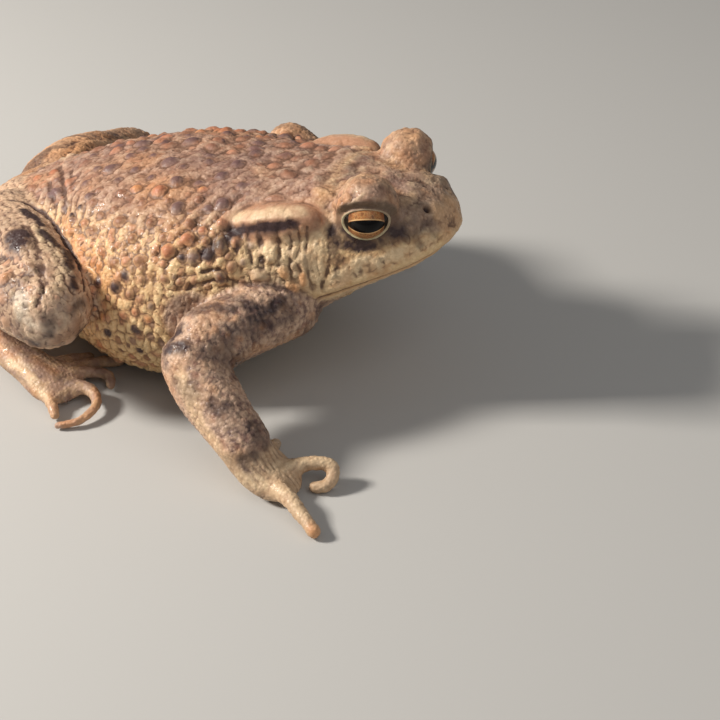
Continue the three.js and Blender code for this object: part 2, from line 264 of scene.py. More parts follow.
limbs = {
    "rightArm": [
        [(21.5, -9, 17.6, 6, 6), (15.6, -21, 17.2, 5.2, 5.2), (8.6, -29.6, 14.8, 5.4, 5.4)],
        [(9, -26.4, 17.6, 5.1, 5.1), (12, -29.9, 12.8, 4.9, 4.9), (17.6, -33.2, 8.8, 4.4, 4.3),
         (25.2, -36.8, 4, 3.9, 3.7)],
        [(19.2, -34.2, 8, 3.8, 3.6), (23.4, -35.7, 4.4, 4.1, 3.3), (27.4, -36.8, 2.3, 4.3, 2.4),
         (31.8, -37.6, 1.3, 4, 1.6)],
    ],
    "leftArm": [
        [(21.5, 9, 18.6, 6.2, 6.2), (12.5, 17.2, 22.4, 4.8, 4.8), (1, 23.2, 26.4, 3.9, 3.9)],
        [(3.2, 20.8, 28.6, 3.9, 3.9), (4, 24, 21.6, 4.7, 4.7), (6.2, 27.8, 13.6, 4.7, 4.6),
         (10, 32, 4.4, 4, 3.8)],
        [(5.6, 29, 10.4, 3.7, 3.6), (8.6, 31.2, 4.6, 4.2, 3.3), (12.2, 32.4, 2.3, 4.4, 2.4),
         (16.4, 32.8, 1.3, 4, 1.6)],
    ],
    "rightLeg": [
        [(-37, -3, 14.4, 7.8, 7.8), (-30, -13.6, 16.9, 7.5, 7.5), (-22, -20.6, 18.3, 6.9, 6.9),
         (-9.4, -31.2, 16.8, 5.6, 5.8)],
        [(-8.4, -31, 17.2, 5.6, 5.8), (-15, -28.8, 17, 6, 6.2), (-23, -25.6, 16.4, 6, 6.2),
         (-31, -21.4, 14.2, 5.1, 5.2), (-37.4, -18.2, 11.2, 3.9, 4), (-43, -15.2, 8.6, 3.2, 3.2)],
        [(-43.4, -15.4, 10.4, 3.1, 3.1), (-37, -19, 7.4, 3.1, 3), (-28, -23.6, 4.2, 3.2, 2.8),
         (-20.5, -26.4, 3, 3.6, 2.5), (-15.6, -27.8, 2.2, 4.6, 2.1), (-10.8, -28.6, 1.3, 4.4, 1.5)],
    ],
    "leftLeg": [
        [(-35, 2, 14.4, 7.8, 7.8), (-35.5, 14.5, 15.2, 7.2, 7), (-36.4, 24, 12.6, 6.5, 6.3),
         (-34.2, 38.4, 9, 5.2, 5.2)],
        [(-33.8, 38.8, 9.8, 5.2, 5.2), (-37.8, 32, 9, 5.7, 5.6), (-43, 24.6, 7.6, 5, 5),
         (-47, 18.2, 5.8, 3.6, 3.7), (-50.4, 12.2, 4.2, 3.1, 3.1)],
        [(-51.6, 13.8, 4.8, 3, 3), (-44.6, 16, 4, 3.1, 2.9), (-36.6, 19, 3, 3.5, 2.5),
         (-30.6, 21.6, 2.2, 4.6, 2.1), (-25.8, 23.6, 1.3, 4.4, 1.5)],
    ],
}


def fan(root, digits):
    # digits fanned from a root by heading, length and radius, each arched and down on the floor at its tip
    def digit(heading, length, radius):
        ahead = np.array([np.cos(np.radians(heading)), np.sin(np.radians(heading))]) * length
        heights = (root[2], root[2] + 0.4, 1.7, 0.9)
        return [
            (root[0] + s * ahead[0], root[1] + s * ahead[1], height, radius * (1.1 - 0.25 * s))
            for s, height in zip((0.1, 0.45, 0.75, 1), heights)
        ]
    return [digit(*d) for d in digits]


digits = {
    "rightFingers": [
        [(22.6, -33.6, 4, 1.5), (19.4, -30.6, 2.4, 1.25), (17, -28.6, 0.9, 1.05)],
        [(24.6, -34.6, 3.4, 1.6), (24, -30.6, 2.4, 1.25), (23.4, -27, 0.9, 1.05)],
        [(27.6, -35.6, 2.8, 1.6), (32, -32.7, 3.5, 1.25), (34.9, -31.8, 3, 1.15), (35.1, -34, 1.4, 1.1),
         (32.2, -35.3, 0.9, 1.05)],
        [(28, -38.6, 2.4, 1.7), (31.4, -40.4, 2.6, 1.4), (35, -42.8, 1.7, 1.15), (38.2, -45, 0.95, 1.1)],
    ],
    "rightToes": [
        [(-19, -25, 2.4, 1.5), (-16.6, -20.6, 1.8, 1.2), (-14.6, -17.2, 0.9, 1.05)],
        [(-16.4, -26, 2.4, 1.5), (-13.2, -20.4, 1.9, 1.2), (-9.4, -16, 0.9, 1.05)],
        [(-15, -26, 2.4, 1.5), (-11.8, -23.2, 2.4, 1.15), (-8.8, -22.4, 1.9, 0.95), (-7.4, -24.4, 0.8, 0.85)],
        [(-14, -28.2, 2.2, 1.7), (-9.4, -27.4, 2.3, 1.25), (-6.6, -30, 1.9, 1.0), (-7.2, -33.8, 1.2, 0.85),
         (-10.8, -36.4, 0.65, 0.75)],
        [(-16, -29.8, 2.2, 1.5), (-13.6, -32.2, 1.8, 1.15), (-11.2, -34.8, 0.75, 0.9)],
    ],
    "leftFingers": fan(
        (12.4, 32.4, 2.3), [(-62, 8.5, 1.25), (-30, 9, 1.25), (-2, 11.5, 1.3), (32, 9.5, 1.3)]
    ),
    "leftToes": fan(
        (-31.5, 21.2, 2.3), [(-46, 9, 1.25), (-22, 12, 1.3), (2, 16, 1.4), (24, 21, 1.45), (50, 14.5, 1.4)]
    ),
}

eye = {
    "at": (30.7, 9.1, 33.2),  # the left one
    "radius": 3.9,
    "heading": {"right": 24, "left": 46},  # degrees ahead of straight out to the side
    "lift": -1,
    "halfWidth": 60,  # of the opening between the lids, in degrees about the eye's centre
    "halfHeight": 38,
    "lidRadii": (4.9, 4.8, 5.3),
    "lidRise": 0.5,
}
gland = {"at": (17.4, 12.9, 30.9), "radii": (7.6, 3.4, 3.0), "pitch": 14, "heading": 7}
webRoots = {"rightToes": (-17.5, -27.2, 1.5), "leftToes": (-31.5, 21.2, 1.5)}
sides = {"right": -1, "left": 1}


def allShells():
    # every part of the flesh as a closed surface of its own, each running into its neighbours
    shells = [bodySurface(150, 120)]
    shells += [limbSurface(rows) for limb in limbs.values() for rows in limb]
    shells += [limbSurface(rows, 36, 20) for group in digits.values() for rows in group]
    for side in sides.values():
        at = np.array(eye["at"]) * (1, side, 1) + (0, -0.2 * side, eye["lidRise"])
        shells.append(ballSurface(at, eye["lidRadii"]))
        at = np.array(gland["at"]) * (1, side, 1)
        shells.append(ballSurface(at, gland["radii"], gland["pitch"], -gland["heading"] * side))
    for name, root in webRoots.items():
        toes = digits[name]
        for a, b in zip(toes[:-1], toes[1:]):
            shells.append(webSurface(root, [np.array(a[-2][:3]), np.array(b[-2][:3])]))
    return shells


def addMesh(name, points, faces):
    mesh = bpy.data.meshes.new(name)
    mesh.from_pydata((points * mm).tolist(), [], faces)
    mesh.validate()
    obj = bpy.data.objects.new(name, mesh)
    scene.collection.objects.link(obj)
    return obj


class Surface:
    # points and faces being shaped as whole arrays, in millimetres

    def __init__(self, points, faces):
        self.co, self.faces = points, faces
        self.corner = faces.ravel()
        self.share = np.maximum(np.bincount(self.corner, minlength=len(points)), 1)[:, None]

    def gather(self, values):
        # sums what the corners of the faces give to each point
        return np.stack([np.bincount(self.corner, column, len(self.co)) for column in values.T], 1)

    def middle(self, values):
        # the mean of each point's neighbours along the edges
        near = values[np.roll(self.faces, 1, 1)] + values[np.roll(self.faces, -1, 1)]
        return self.gather(near.reshape(len(self.corner), -1)) / (2 * self.share)

    def normals(self, rounds=0):
        # each point's mean of its faces' normals by their area, evened out over some rounds
        p = self.co[self.faces]
        n = self.gather(np.repeat(np.cross(p[:, 2] - p[:, 0], p[:, -1] - p[:, 1]), p.shape[1], axis=0))
        for _ in range(rounds):
            n = self.middle(n)
        return unit(n)

    def relax(self, rounds, hollows=0.5, crests=0.5):
        # moves points towards the middle of their neighbours, by one share in hollows and another on crests
        for _ in range(rounds):
            step = self.middle(self.co) - self.co
            hollow = (step * self.normals()).sum(1) > 0
            self.co = self.co + step * np.where(hollow, hollows, crests)[:, None]


def remesh(shells, size):
    # one closed surface round all the shells, of squares of this size
    points, faces, start = [], [], 0
    for shellPoints, shellFaces in shells:
        points.append(shellPoints)
        faces += [[i + start for i in face] for face in shellFaces]
        start += len(shellPoints)
    obj = addMesh("shells", np.vstack(points), faces)
    modifier = obj.modifiers.new("remesh", "REMESH")
    modifier.mode = "VOXEL"
    modifier.voxel_size = size * mm
    mesh = finished(obj)
    co, corners = readArray(mesh.vertices, "co", 3), readArray(mesh.loops, "vertex_index", 1)
    return Surface(co / mm, corners.astype(np.int64).reshape(-1, 4))


def readArray(things, name, width):
    # one property of all of a mesh's points, edges or corners, as rows of this width
    values = np.empty(len(things) * width, np.float32 if name == "co" else np.int32)
    things.foreach_get(name, values)
    return values.reshape(-1, width).astype(float)


def finished(obj):
    # the object's mesh with its modifiers applied; the object itself is removed
    mesh = bpy.data.meshes.new_from_object(obj.evaluated_get(bpy.context.evaluated_depsgraph_get()))
    bpy.data.objects.remove(obj)
    return mesh


def refine(surface, spots):
    # parts every edge near the spots (place and reach) in two, and all faces into triangles
    obj = addMesh("fine", surface.co, surface.faces.tolist())
    mesh = obj.data
    near = np.zeros(len(surface.co), bool)
    for spot, reach in spots:
        near |= np.linalg.norm(surface.co - spot, axis=1) < reach
    ends = readArray(mesh.edges, "vertices", 2).astype(int)
    mesh.polygons.foreach_set("select", np.zeros(len(mesh.polygons), bool))
    mesh.vertices.foreach_set("select", near)
    mesh.edges.foreach_set("select", near[ends].all(1))
    work = bmesh.new()
    work.from_mesh(mesh)
    bpy.data.objects.remove(obj)
    bmesh.ops.subdivide_edges(work, edges=[e for e in work.edges if e.select], cuts=1, use_grid_fill=True)
    bmesh.ops.triangulate(work, faces=work.faces[:])
    work.to_mesh(mesh)
    work.free()
    triangles = readArray(mesh.loops, "vertex_index", 1).astype(np.int64).reshape(-1, 3)
    return Surface(readArray(mesh.vertices, "co", 3) / mm, triangles)


skinMesh = {
    "square": 0.25,
    "triangles": 196000,
    "evenRounds": 3,  # these take the steps out of the squares
    "blend": {"rounds": 26, "hollows": 0.55, "crests": 0.06},  # fills the hollows where limbs join
    "eyeReach": 7.4,  # how far round the eyes and nostrils the mesh is twice as fine
    "nostrilReach": 2.0,
}
head = {
    "nostril": (38.5, 4.0, 33.0),
    "nostrilRadius": 0.56,
    "mouth": [  # x and z of the line between the lips
        (24.4, 19.9), (27, 20.9), (30.1, 22.1), (33, 23.3), (37.2, 25.1), (40.5, 26.5), (43, 27.3),
    ],
}


def bothSides(point):
    # a place and its mirror image, the right one first
    return [np.array(point, float) * (1, side, 1) for side in sides.values()]


flesh = remesh(allShells(), skinMesh["square"])
flesh.relax(skinMesh["evenRounds"])
flesh.relax(**skinMesh["blend"])
spots = [(spot, skinMesh["eyeReach"]) for spot in bothSides(eye["at"])]
spots += [(spot, skinMesh["nostrilReach"]) for spot in bothSides(head["nostril"])]
flesh = refine(flesh, spots)
print("flesh made,", len(flesh.co), "points")


def direction(heading, lift):
    # a direction on the left side: heading is from straight out towards the front, lift is up from level
    h, v = np.radians(heading), np.radians(lift)
    return np.array((np.sin(h) * np.cos(v), np.cos(h) * np.cos(v), np.sin(v)))


lid = {
    "profile": [  # share of the opening's half width, distance from the eye's centre
        (0.0, 3.3), (0.88, 3.32), (0.93, 3.55), (0.965, 3.96), (0.99, 4.16), (1.005, 4.2), (1.03, 4.17),
        (1.06, 4.07), (1.14, 4.07), (1.22, 4.28), (1.32, 4.65), (2, 5),
    ],
    "reach": 7.2,
    "fade": (1.5, 1.12),  # the shares between which the flesh outside takes over
    "crest": 0.28,  # how far the brow stands out over the upper lid
    "crestAt": 1.28,  # its share of the opening's half width, like those of the profile
    "crestWidth": 0.1,
}


def shapeLids(surface):
    # round each eye the skin's distance from the eye's centre follows the lid profile: inside the eyeball
    # within the opening, out over its rim, down into a groove, and back to the flesh outside; returns how
    # far out each point is, 1 at the rim, and its turn about the opening
    shares, turns = np.full(len(surface.co), 9.0), np.zeros(len(surface.co))
    for (name, side), centre in zip(sides.items(), bothSides(eye["at"])):
        near = np.flatnonzero(np.linalg.norm(surface.co - centre, axis=1) < lid["reach"])
        offset = (surface.co[near] - centre) * (1, side, 1)
        distance = np.linalg.norm(offset, axis=1)
        axis = direction(eye["heading"][name], eye["lift"])
        ahead = unit(np.cross(axis, (0, 0, 1)))
        up = np.cross(ahead, axis)
        lean = np.degrees(np.arccos(np.clip(offset @ axis / distance, -1, 1)))
        turn = np.arctan2(offset @ up, offset @ ahead)
        span = 1 / np.hypot(np.cos(turn) / eye["halfWidth"], np.sin(turn) / eye["halfHeight"])
        share = lean / span
        target = rowsAt(lid["profile"], np.clip(share, 0, 2))[:, 1]
        hold = smooth(*lid["fade"], share)
        brow = lid["crest"] * np.exp(-((share - lid["crestAt"]) / lid["crestWidth"]) ** 2)
        brow = brow * smooth(0, 0.5, np.sin(turn))
        reach = distance + (target - distance) * hold + brow
        surface.co[near] = centre + offset / distance[:, None] * reach[:, None] * (1, side, 1)
        shares[near], turns[near] = share, turn
    return shares, turns


fromEye, eyeTurn = shapeLids(flesh)
print("lids shaped")


# Where each point is on the toad: masks from 0 to 1, and the turn round the body

def gapTo(points, tubes):
    # distance from each point to the nearest of these limbs' surfaces
    spots = []
    for rows in tubes:
        rows = np.array([row[:4] for row in rows], float)
        places, number = pathThrough(rows[:, :3], 36)
        sizes = rowsAt(np.column_stack([np.arange(len(rows)), rows[:, 3]]), number)[:, 1]
        spots.append(np.column_stack([places, sizes]))
    spots = np.vstack(spots)
    gap = np.empty(len(points))
    for part in np.array_split(np.arange(len(points)), len(points) // 20000 + 1):
        square = (points[part] ** 2).sum(1)[:, None] + (spots[:, :3] ** 2).sum(1)
        square = square - 2 * points[part] @ spots[:, :3].T
        gap[part] = (np.sqrt(np.maximum(square, 0)) - spots[:, 3]).min(1)
    return gap


start = flesh.co.copy()  # where each point is before any relief: all patterns hang on it
x, y, z = start.T
left = y > 0
bodyRow = rowsAt(body["rows"], np.clip(x, body["vent"], body["snout"]))
halfWidth, backZ, levelZ, bellyZ = bodyRow[:, 1:].T
# the turn of each point round the body in degrees, 90 on the back and -90 on the belly, as in bodyAt
over = np.where(z > levelZ, (z - levelZ) / (backZ - levelZ), (z - levelZ) / (levelZ - bellyZ))
power = body["squareness"] / 2
theta = np.degrees(np.arctan2(np.sign(over) * np.abs(over) ** power, (np.abs(y) / halfWidth) ** power))
mouthZ = rowsAt(head["mouth"], np.clip(x, 24.4, 43))[:, 1]



def within(edge, tubes):
    # 1 at the points inside these limbs, falling to 0 this far outside them
    return smooth(edge, 0.2, gapTo(start, tubes))


arm = within(1.2, limbs["rightArm"][:2] + limbs["leftArm"][:2])
leg = within(1.2, limbs["rightLeg"][:2] + limbs["leftLeg"][:2])
hand = within(0.9, [limbs["rightArm"][2], limbs["leftArm"][2]])
foot = within(0.9, [limbs["rightLeg"][2], limbs["leftLeg"][2]])
digit = within(0.9, sum(digits.values(), []))
hand, foot = np.maximum(hand, digit * (x > 5)), np.maximum(foot, digit * (x < 5))
hand = hand * (x > 2) * smooth(7.5, 5, z)
arm = arm * (1 - hand)
leg = leg * (1 - foot)
limb = np.clip(arm + leg + hand + foot, 0, 1)
trunk = 1 - limb
face = smooth(21, 26, x) * trunk
glandGap = np.full(len(start), 9.0)
for side, at in zip(sides.values(), bothSides(gland["at"])):
    p, h = np.radians(gland["pitch"]), np.radians(-gland["heading"] * side)
    ahead = np.array((np.cos(h) * np.cos(p), np.sin(h) * np.cos(p), np.sin(p)))
    offset = start - at
    along = offset @ ahead
    off = np.linalg.norm(offset - along[:, None] * ahead, axis=1)
    glandGap = np.minimum(glandGap, np.hypot(along / (gland["radii"][0] + 0.3), off / 3.5))
glandMask = smooth(1.16, 0.98, glandGap) * smooth(20, 40, theta) * trunk
print("regions found")


def cubeOf(points, pitch):
    # one number for the cube of this size that each point lies in, out of a block of 1000 by 1000 by 1000
    i = np.floor(points / pitch).astype(np.int64) + 500
    return (i[:, 0] * 1000 + i[:, 1]) * 1000 + i[:, 2]


def nearestSeeds(points, seeds, pitch):
    # for each point, its distances to the nearest and second nearest seed, and which the nearest is: the
    # seeds are looked up in the 27 cubes round the point's own
    seedCode = cubeOf(seeds, pitch)
    order = np.argsort(seedCode, kind="stable")
    seedCode = seedCode[order]
    cubes, owner = np.unique(cubeOf(points, pitch), return_inverse=True)
    found = []
    for step in np.ndindex(3, 3, 3):
        wanted = cubes + ((step[0] - 1) * 1000 + step[1] - 1) * 1000 + step[2] - 1
        at = np.searchsorted(seedCode, wanted)
        for extra in range(3):
            index = np.minimum(at + extra, len(order) - 1)
            found.append(np.where((seedCode[index] == wanted) & (at + extra < len(order)), order[index], -1))
    found = -np.sort(-np.stack(found, 1), axis=1)
    found = found[:, :max((found >= 0).sum(1).max(), 2)]
    places = np.vstack([seeds, np.full((1, 3), 1e4)])
    first, second, own = np.empty(len(points)), np.empty(len(points)), np.empty(len(points), int)
    for part in np.array_split(np.arange(len(points)), len(points) // 40000 + 1):
        choice = found[owner[part]]
        distance = np.linalg.norm(points[part][:, None] - places[choice], axis=2)
        best = distance.argmin(1)
        rank = np.arange(len(part))
        own[part] = choice[rank, best]
        first[part] = distance[rank, best]
        distance[rank, best] = 1e5
        second[part] = distance.min(1)
    return first, second, own


def scatter(points, pitch, stretch=(1, 1, 1), rounds=2, sparse=0.45):
    # one seed on the skin for each cube of this size that it fills well, evened out by moving each seed to
    # the middle of its own points; distances are in millimetres along the squeezed directions
    p = points / stretch
    p = p + 0.3 * pitch * np.stack([noise(p + 50 * k, 2.2 * pitch, 60 + k) for k in range(3)], 1)
    _, owner = np.unique(cubeOf(p, pitch), return_inverse=True)
    thin = p[::3]
    shuffled = np.random.RandomState(7).permutation(len(p))
    seeds = p[shuffled[np.unique(owner[shuffled], return_index=True)[1]]]
    for _ in range(rounds):
        owner = nearestSeeds(thin, seeds, pitch)[2]
        count = np.bincount(owner)
        keep = count > sparse * np.median(count[count > 0])
        seeds = np.stack([np.bincount(owner, thin[:, k]) / np.maximum(count, 1) for k in range(3)], 1)[keep]
    return nearestSeeds(p, seeds, pitch)


def pillow(first, second, pitch, edge=0.6):
    # rounded stones: 0 in the joints between cells, rising as a quarter circle
    s = np.clip((second - first) / (edge * pitch), 0, 1)
    return np.sqrt(1 - (1 - s) ** 2)


def dome(distance, radius):
    # a wart: round on top with a soft foot
    t = np.clip(1 - distance / radius, 0, 1)
    return 0.55 * np.sqrt(t * (2 - t)) + 0.45 * smooth(0, 0.8, t)


def seedValue(own, seed):
    # a number from 0 to 1 for each seed
    return np.random.RandomState(seed).rand(own.max() + 1)[own]


def snapped(line, reach):
    # the skin's points near a line, and their distance to it once its own points are moved onto the skin
    line = np.array(line, float).reshape(-1, 3)
    if len(line) > 2:
        line = pathThrough(line, 4 * len(line))[0]
    near = np.flatnonzero(((start > line.min(0) - reach - 2) & (start < line.max(0) + reach + 2)).all(1))
    p = start[near]
    line = np.array([p[np.linalg.norm(p - spot, axis=1).argmin()] for spot in line])
    ends = np.vstack([line, line[-1:]])
    distance = np.full(len(p), 1e3)
    for a, b in zip(ends[:-1], ends[1:]):
        run = b - a
        t = np.clip((p - a) @ run / max(run @ run, 1e-9), 0, 1)
        distance = np.minimum(distance, np.linalg.norm(p - a - t[:, None] * run, axis=1))
    return near, distance


tones = {name: np.zeros(len(start)) for name in ("dark", "pale", "warm", "milk", "wart", "tone")}


def tint(tone, amount, where=slice(None)):
    # lays a tone on some points: the strongest laid on a point counts
    tones[tone][where] = np.maximum(tones[tone][where], amount)


# Stones, warts and folds of the skin

flank = trunk * (1 - face) * smooth(62, 36, theta)
top = trunk * (1 - face) * smooth(36, 62, theta)
under = trunk * smooth(14, -10, theta) * (1 - face)
crown = face * smooth(30, 50, theta)
besideEye = smooth(1.12, 1.5, fromEye)  # 0 at the lids
besideMouth = smooth(0.3, 1.4, np.abs(z - mouthZ)) * face + 1 - face

relief = {  # pitch of the seeds in mm, how far the cells are stretched, and their heights by region
    "grains": {
        "pitch": 0.95, "stretch": (1, 1, 1.15), "edge": 0.7,
        "flank": 0.11, "top": 0.09, "under": 0.06, "leg": 0.13, "arm": 0.16, "face": 0.1, "hand": 0.05,
    },
    "stones": {
        "pitch": 1.6, "stretch": (1, 1, 1.35), "edge": 0.75,
        "flank": 0.2, "top": 0.13, "under": 0.36, "leg": 0.16, "arm": 0.2, "face": 0.0, "hand": 0.04,
    },
}
# pitch, stretch, smallest and largest radius, height for a radius of 1, share of the cells that have one
domes = {
    "pimples": (2.0, (1, 1, 1.3), 0.45, 0.8, 0.6, 0.75),
    "warts": (4.0, (1, 1, 1.25), 0.9, 1.6, 0.62, 0.7),
}

area = {
    "flank": flank, "top": top, "under": under, "leg": leg, "arm": arm, "face": face, "hand": hand + foot,
}
height = np.zeros(len(start))
for r in relief.values():
    first, second, _ = scatter(start, r["pitch"], r["stretch"])
    amount = sum(r[name] * where for name, where in area.items())
    height = height + amount * pillow(first, second, r["pitch"], r["edge"])
tones["tone"] = 0.5 + 0.5 * noise(start, 1.5, 17)
fine = height.copy()
lumps = 0.3 * noise(start, 5, 15) + 0.22 * noise(start, 2.4, 16) + 0.2 * crown * roughNoise(start, 1.6, 34)
lumps = lumps * (top + 1.2 * crown + 0.6 * flank + 0.35 * limb)
print("stones laid")


def between(low, high, value, edge):
    # 1 from low to high and 0 outside, with S-curves as wide as the edge to both sides of each
    return smooth(low - edge, low + edge, value) * smooth(high + edge, high - edge, value)


def addWart(distance, radius, high, tone, where, share=1.0):
    # raises warts on some points: smooth domes that take a tone of their own, in a slight ditch
    s = distance / radius
    mask = smooth(1.12, 0.64, s) * share
    ditch = 0.1 * between(0.95, 1.2, s, 0.12) * share
    raised = high * dome(distance, radius) * share + 0.25 * fine[where] * (1 - mask) * share
    height[where] = np.maximum(height[where] * (1 - 0.8 * mask) - ditch, raised)
    tones["tone"][where] = np.where(mask > tones["wart"][where], tone, tones["tone"][where])
    tint("wart", mask, where)


everywhere = np.arange(len(start))
warty = flank * smooth(-50, -30, theta) + top * smooth(22, 18, x)
warty = warty * (1 - glandMask)
shank = within(1.2, [limbs["rightLeg"][1], limbs["leftLeg"][1]]) * leg
upperArm = within(1.2, [limbs["rightArm"][0], limbs["leftArm"][0]]) * arm
thigh = within(1.2, [limbs["rightLeg"][0], limbs["leftLeg"][0]]) * leg
ownWindow = (~left) * trunk * between(-19, 10, x, 1.5) * smooth(-14, -8, theta)
warmZone = (
    np.exp(-(((x + 10) / 6) ** 2 + ((theta - 18) / 20) ** 2))
    + 0.8 * np.exp(-(((x + 3) / 6) ** 2 + ((theta - 67) / 9) ** 2))
    + 0.5 * smooth(0.1, 0.7, noise(start, 7, 19))
)
warmZone = np.clip(warmZone, 0, 1) * trunk * (1 - face)
amounts = {
    "pimples": warty * (1 - 0.4 * top) * (1 - 0.15 * ownWindow) + 0.5 * shank + 0.3 * thigh + 0.3 * arm
    + 0.4 * crown * smooth(35, 31, x),
    "warts": warty * (1 - ownWindow) + 0.6 * shank + 0.4 * crown * smooth(30, 26, x),
}
for name, (pitch, stretch, small, large, high, share) in domes.items():
    first, second, own = scatter(start, pitch, stretch, rounds=1)
    size = seedValue(own, 11)
    radius = np.minimum(small + (large - small) * size, 0.47 * (first + second))
    shown = (seedValue(own, 12) < share) * np.clip(amounts[name], 0, 1)
    tone = np.clip(0.05 + 0.62 * seedValue(own, 13) + 0.4 * warmZone, 0, 1)
    flat = 1 - 0.35 * top
    addWart(first, radius, high * radius * flat, tone, everywhere, shown)

ownWarts = {  # x, angle, radius; the right side, from the back down to the belly
    "mauve": [
        (-15.5, 79, 1.6), (-14.1, 88, 1.1), (-9.5, 88, 0.9), (-5.5, 84, 1.7), (-1.5, 73, 1.3),
        (-22.7, 88, 0.9),
        (6.4, 85, 1.3), (5.1, 78, 1.2), (1.1, 86, 1.0), (-15.6, 59, 1.0), (6.4, 59, 0.9), (8.3, 61, 1.45),
        (1.3, 59, 1.35), (7.1, 33, 1.3), (-16.8, 44, 0.7), (-12.2, 71, 0.9), (-10.6, 79, 1.0),
        (-2.2, 81, 0.8),
        (2.2, 74, 1.0), (-18.2, 68, 0.9), (-6.6, 75, 0.8), (9.6, 72, 1.0), (-18.6, 80, 1.0),
    ],
    "brown": [
        (-7.2, 49, 1.15), (-1.6, 50, 1.0), (-11.8, 42, 0.85), (-11.6, 50, 0.7), (-9.4, 55, 0.7),
        (4.2, 64, 0.8),
        (4.7, 51, 0.9), (-3.7, 42, 0.9), (-5.7, 29, 0.8), (-1.6, 32, 0.9), (0.5, 36, 0.6), (0, 14, 0.7),
        (-2.1, 16, 0.9), (-9.9, 64, 0.8), (1.5, 44, 0.7), (3.2, 24, 0.8), (5.8, 22, 0.8), (-13.8, 56, 0.8),
        (-5, 60, 0.7), (-14.4, 64, 0.7), (8.2, 41, 0.8), (-0.6, 62, 0.7),
    ],
    "pink": [
        (9.6, 50, 1.0), (-8.7, 33, 0.8), (-3.5, 31, 0.85), (-16.1, 38, 0.7), (-10.8, 35, 0.6), (-6, 38, 0.7),
        (-13.9, 44, 0.8), (-7.8, 42, 0.7), (2.6, 31, 0.7), (-11.6, 20, 0.7), (-6.2, 12, 0.6),
    ],
    "red": [
        (7.0, 47, 0.9), (3.0, 37, 1.3), (-3.5, 6, 0.85), (-3.1, 67, 1.4), (5.3, 43, 1.15), (-1.2, 8, 0.7),
    ],
    "orange": [
        (-7.7, 67, 1.1), (-8.6, 26, 0.8), (-7.2, 3, 0.8), (1.1, 6, 0.8), (-12.6, 28, 0.7), (-10.4, 12, 0.7),
        (-11.8, 24, 0.6), (-9.6, 6, 0.6), (3.5, 70, 0.9),
    ],
    "black": [
        (5.3, 34, 0.8), (9.1, 33, 1.0), (-8.3, 18, 0.75), (-4.8, 18, 1.0), (-3.3, 24, 0.8), (-1.2, 1, 0.8),
        (-6.4, -3, 0.8), (-1, -10, 0.7), (-16.3, 52, 0.6), (-17.4, 47, 0.5),
    ],
}
wartTones = {  # tone, darkness and height for a radius of 1
    "mauve": (0.08, 0.12, 0.44), "brown": (0.36, 0, 0.66), "pink": (0.55, 0, 0.64), "red": (0.7, 0, 0.64),
    "orange": (0.9, 0, 0.5), "black": (0.02, 0.9, 0.5),
}
for side in sides.values():
    shift = np.random.RandomState(8)
    for kind, places in ownWarts.items():
        tone, dark, high = wartTones[kind]
        for wartX, angle, radius in places:
            moved = shift.uniform(-1.5, 1.5, 2) * (side > 0)
            spot = bodyAt(wartX + moved[0], angle + 3 * moved[1]) * (1, -side, 1)
            near, distance = snapped(spot, radius + 0.6)
            distance = distance * (1 + 0.22 * noise(start[near], 1.1, 18))
            addWart(distance, radius, high * radius, tone, near)
            tint("dark", dark * smooth(1.1, 0.75, distance / radius), near)
print("warts raised")


mirrored = np.column_stack([x, np.abs(y), z])


def folds(across, pitch, wobble, seed):
    # skin in parallel folds: the sine of the way across them, folded up into round crests and sharp
    # valleys, from -1 to 0
    run = mirrored @ unit(np.array(across, float)) / pitch + wobble * roughNoise(start, 3 * pitch, seed)
    return np.abs(np.sin(np.pi * run)) - 1


neck = trunk * between(13, 26.5, x, 1.5) * smooth(20.5, 23, z) * smooth(-20, 5, theta) * (1 - glandMask)
neck = neck * smooth(33, 31, z + 0.1 * (18 - x))
shoulder = trunk * between(1, 12, x, 2.5) * between(32, 66, theta, 8)
armpit = trunk * between(5, 21, x, 2.5) * between(18.5, 24.5, z, 1.5) * smooth(70, 30, theta)
armpit = armpit * (0.6 + 0.5 * noise(start, 2.5, 14))
groin = trunk * between(-32, -14, x, 3) * between(14, 60, theta, 8)
throat = trunk * smooth(18, 24, x) * smooth(-20, -45, theta)
foldPlan = [  # where, direction across, pitch, wobble, depth
    (neck, (1, 0, 0.1), 1.0, 0.9, 0.17),
    (neck, (0.3, 0, 1), 2.2, 0.9, 0.12),
    (shoulder, (1, 0, -1), 2.2, 0.7, 0.45),
    (armpit, (-0.25, 0, 1), 1.2, 0.9, 0.42),
    (groin, (1, 0, 0.5), 1.7, 0.8, 0.34),
    (throat, (1, 0, 0.3), 2.2, 0.7, 0.15),
    (upperArm, (-0.53, 0.84, -0.1), 1.25, 1.1, 0.14),
    (thigh * (~left), (0.65, -0.76, 0.2), 1.25, 0.9, 0.13),
    (hand * (1 - digit) * smooth(22, 26, x), (0.3, -0.95, 0), 0.9, 0.7, 0.2),
    (foot * (1 - digit), (0.35, -0.93, 0), 1.3, 0.9, 0.1),
    (flank * smooth(-5, 20, theta), (1, 0, 0.1), 2.1, 1.0, 0.16),
    (top, (1, 0.4, 0), 2.4, 1.0, 0.1),
    (digit, (0.9, 0.3, 0.2), 1.1, 0.4, 0.1),
]
creases = np.zeros(len(start))
for number, (where, across, pitch, wobble, depth) in enumerate(foldPlan):
    fold = folds(across, pitch, wobble, 20 + number) * where
    creases = creases + fold * depth
creases = creases * (1 - 0.8 * tones["wart"])
print("folds laid")

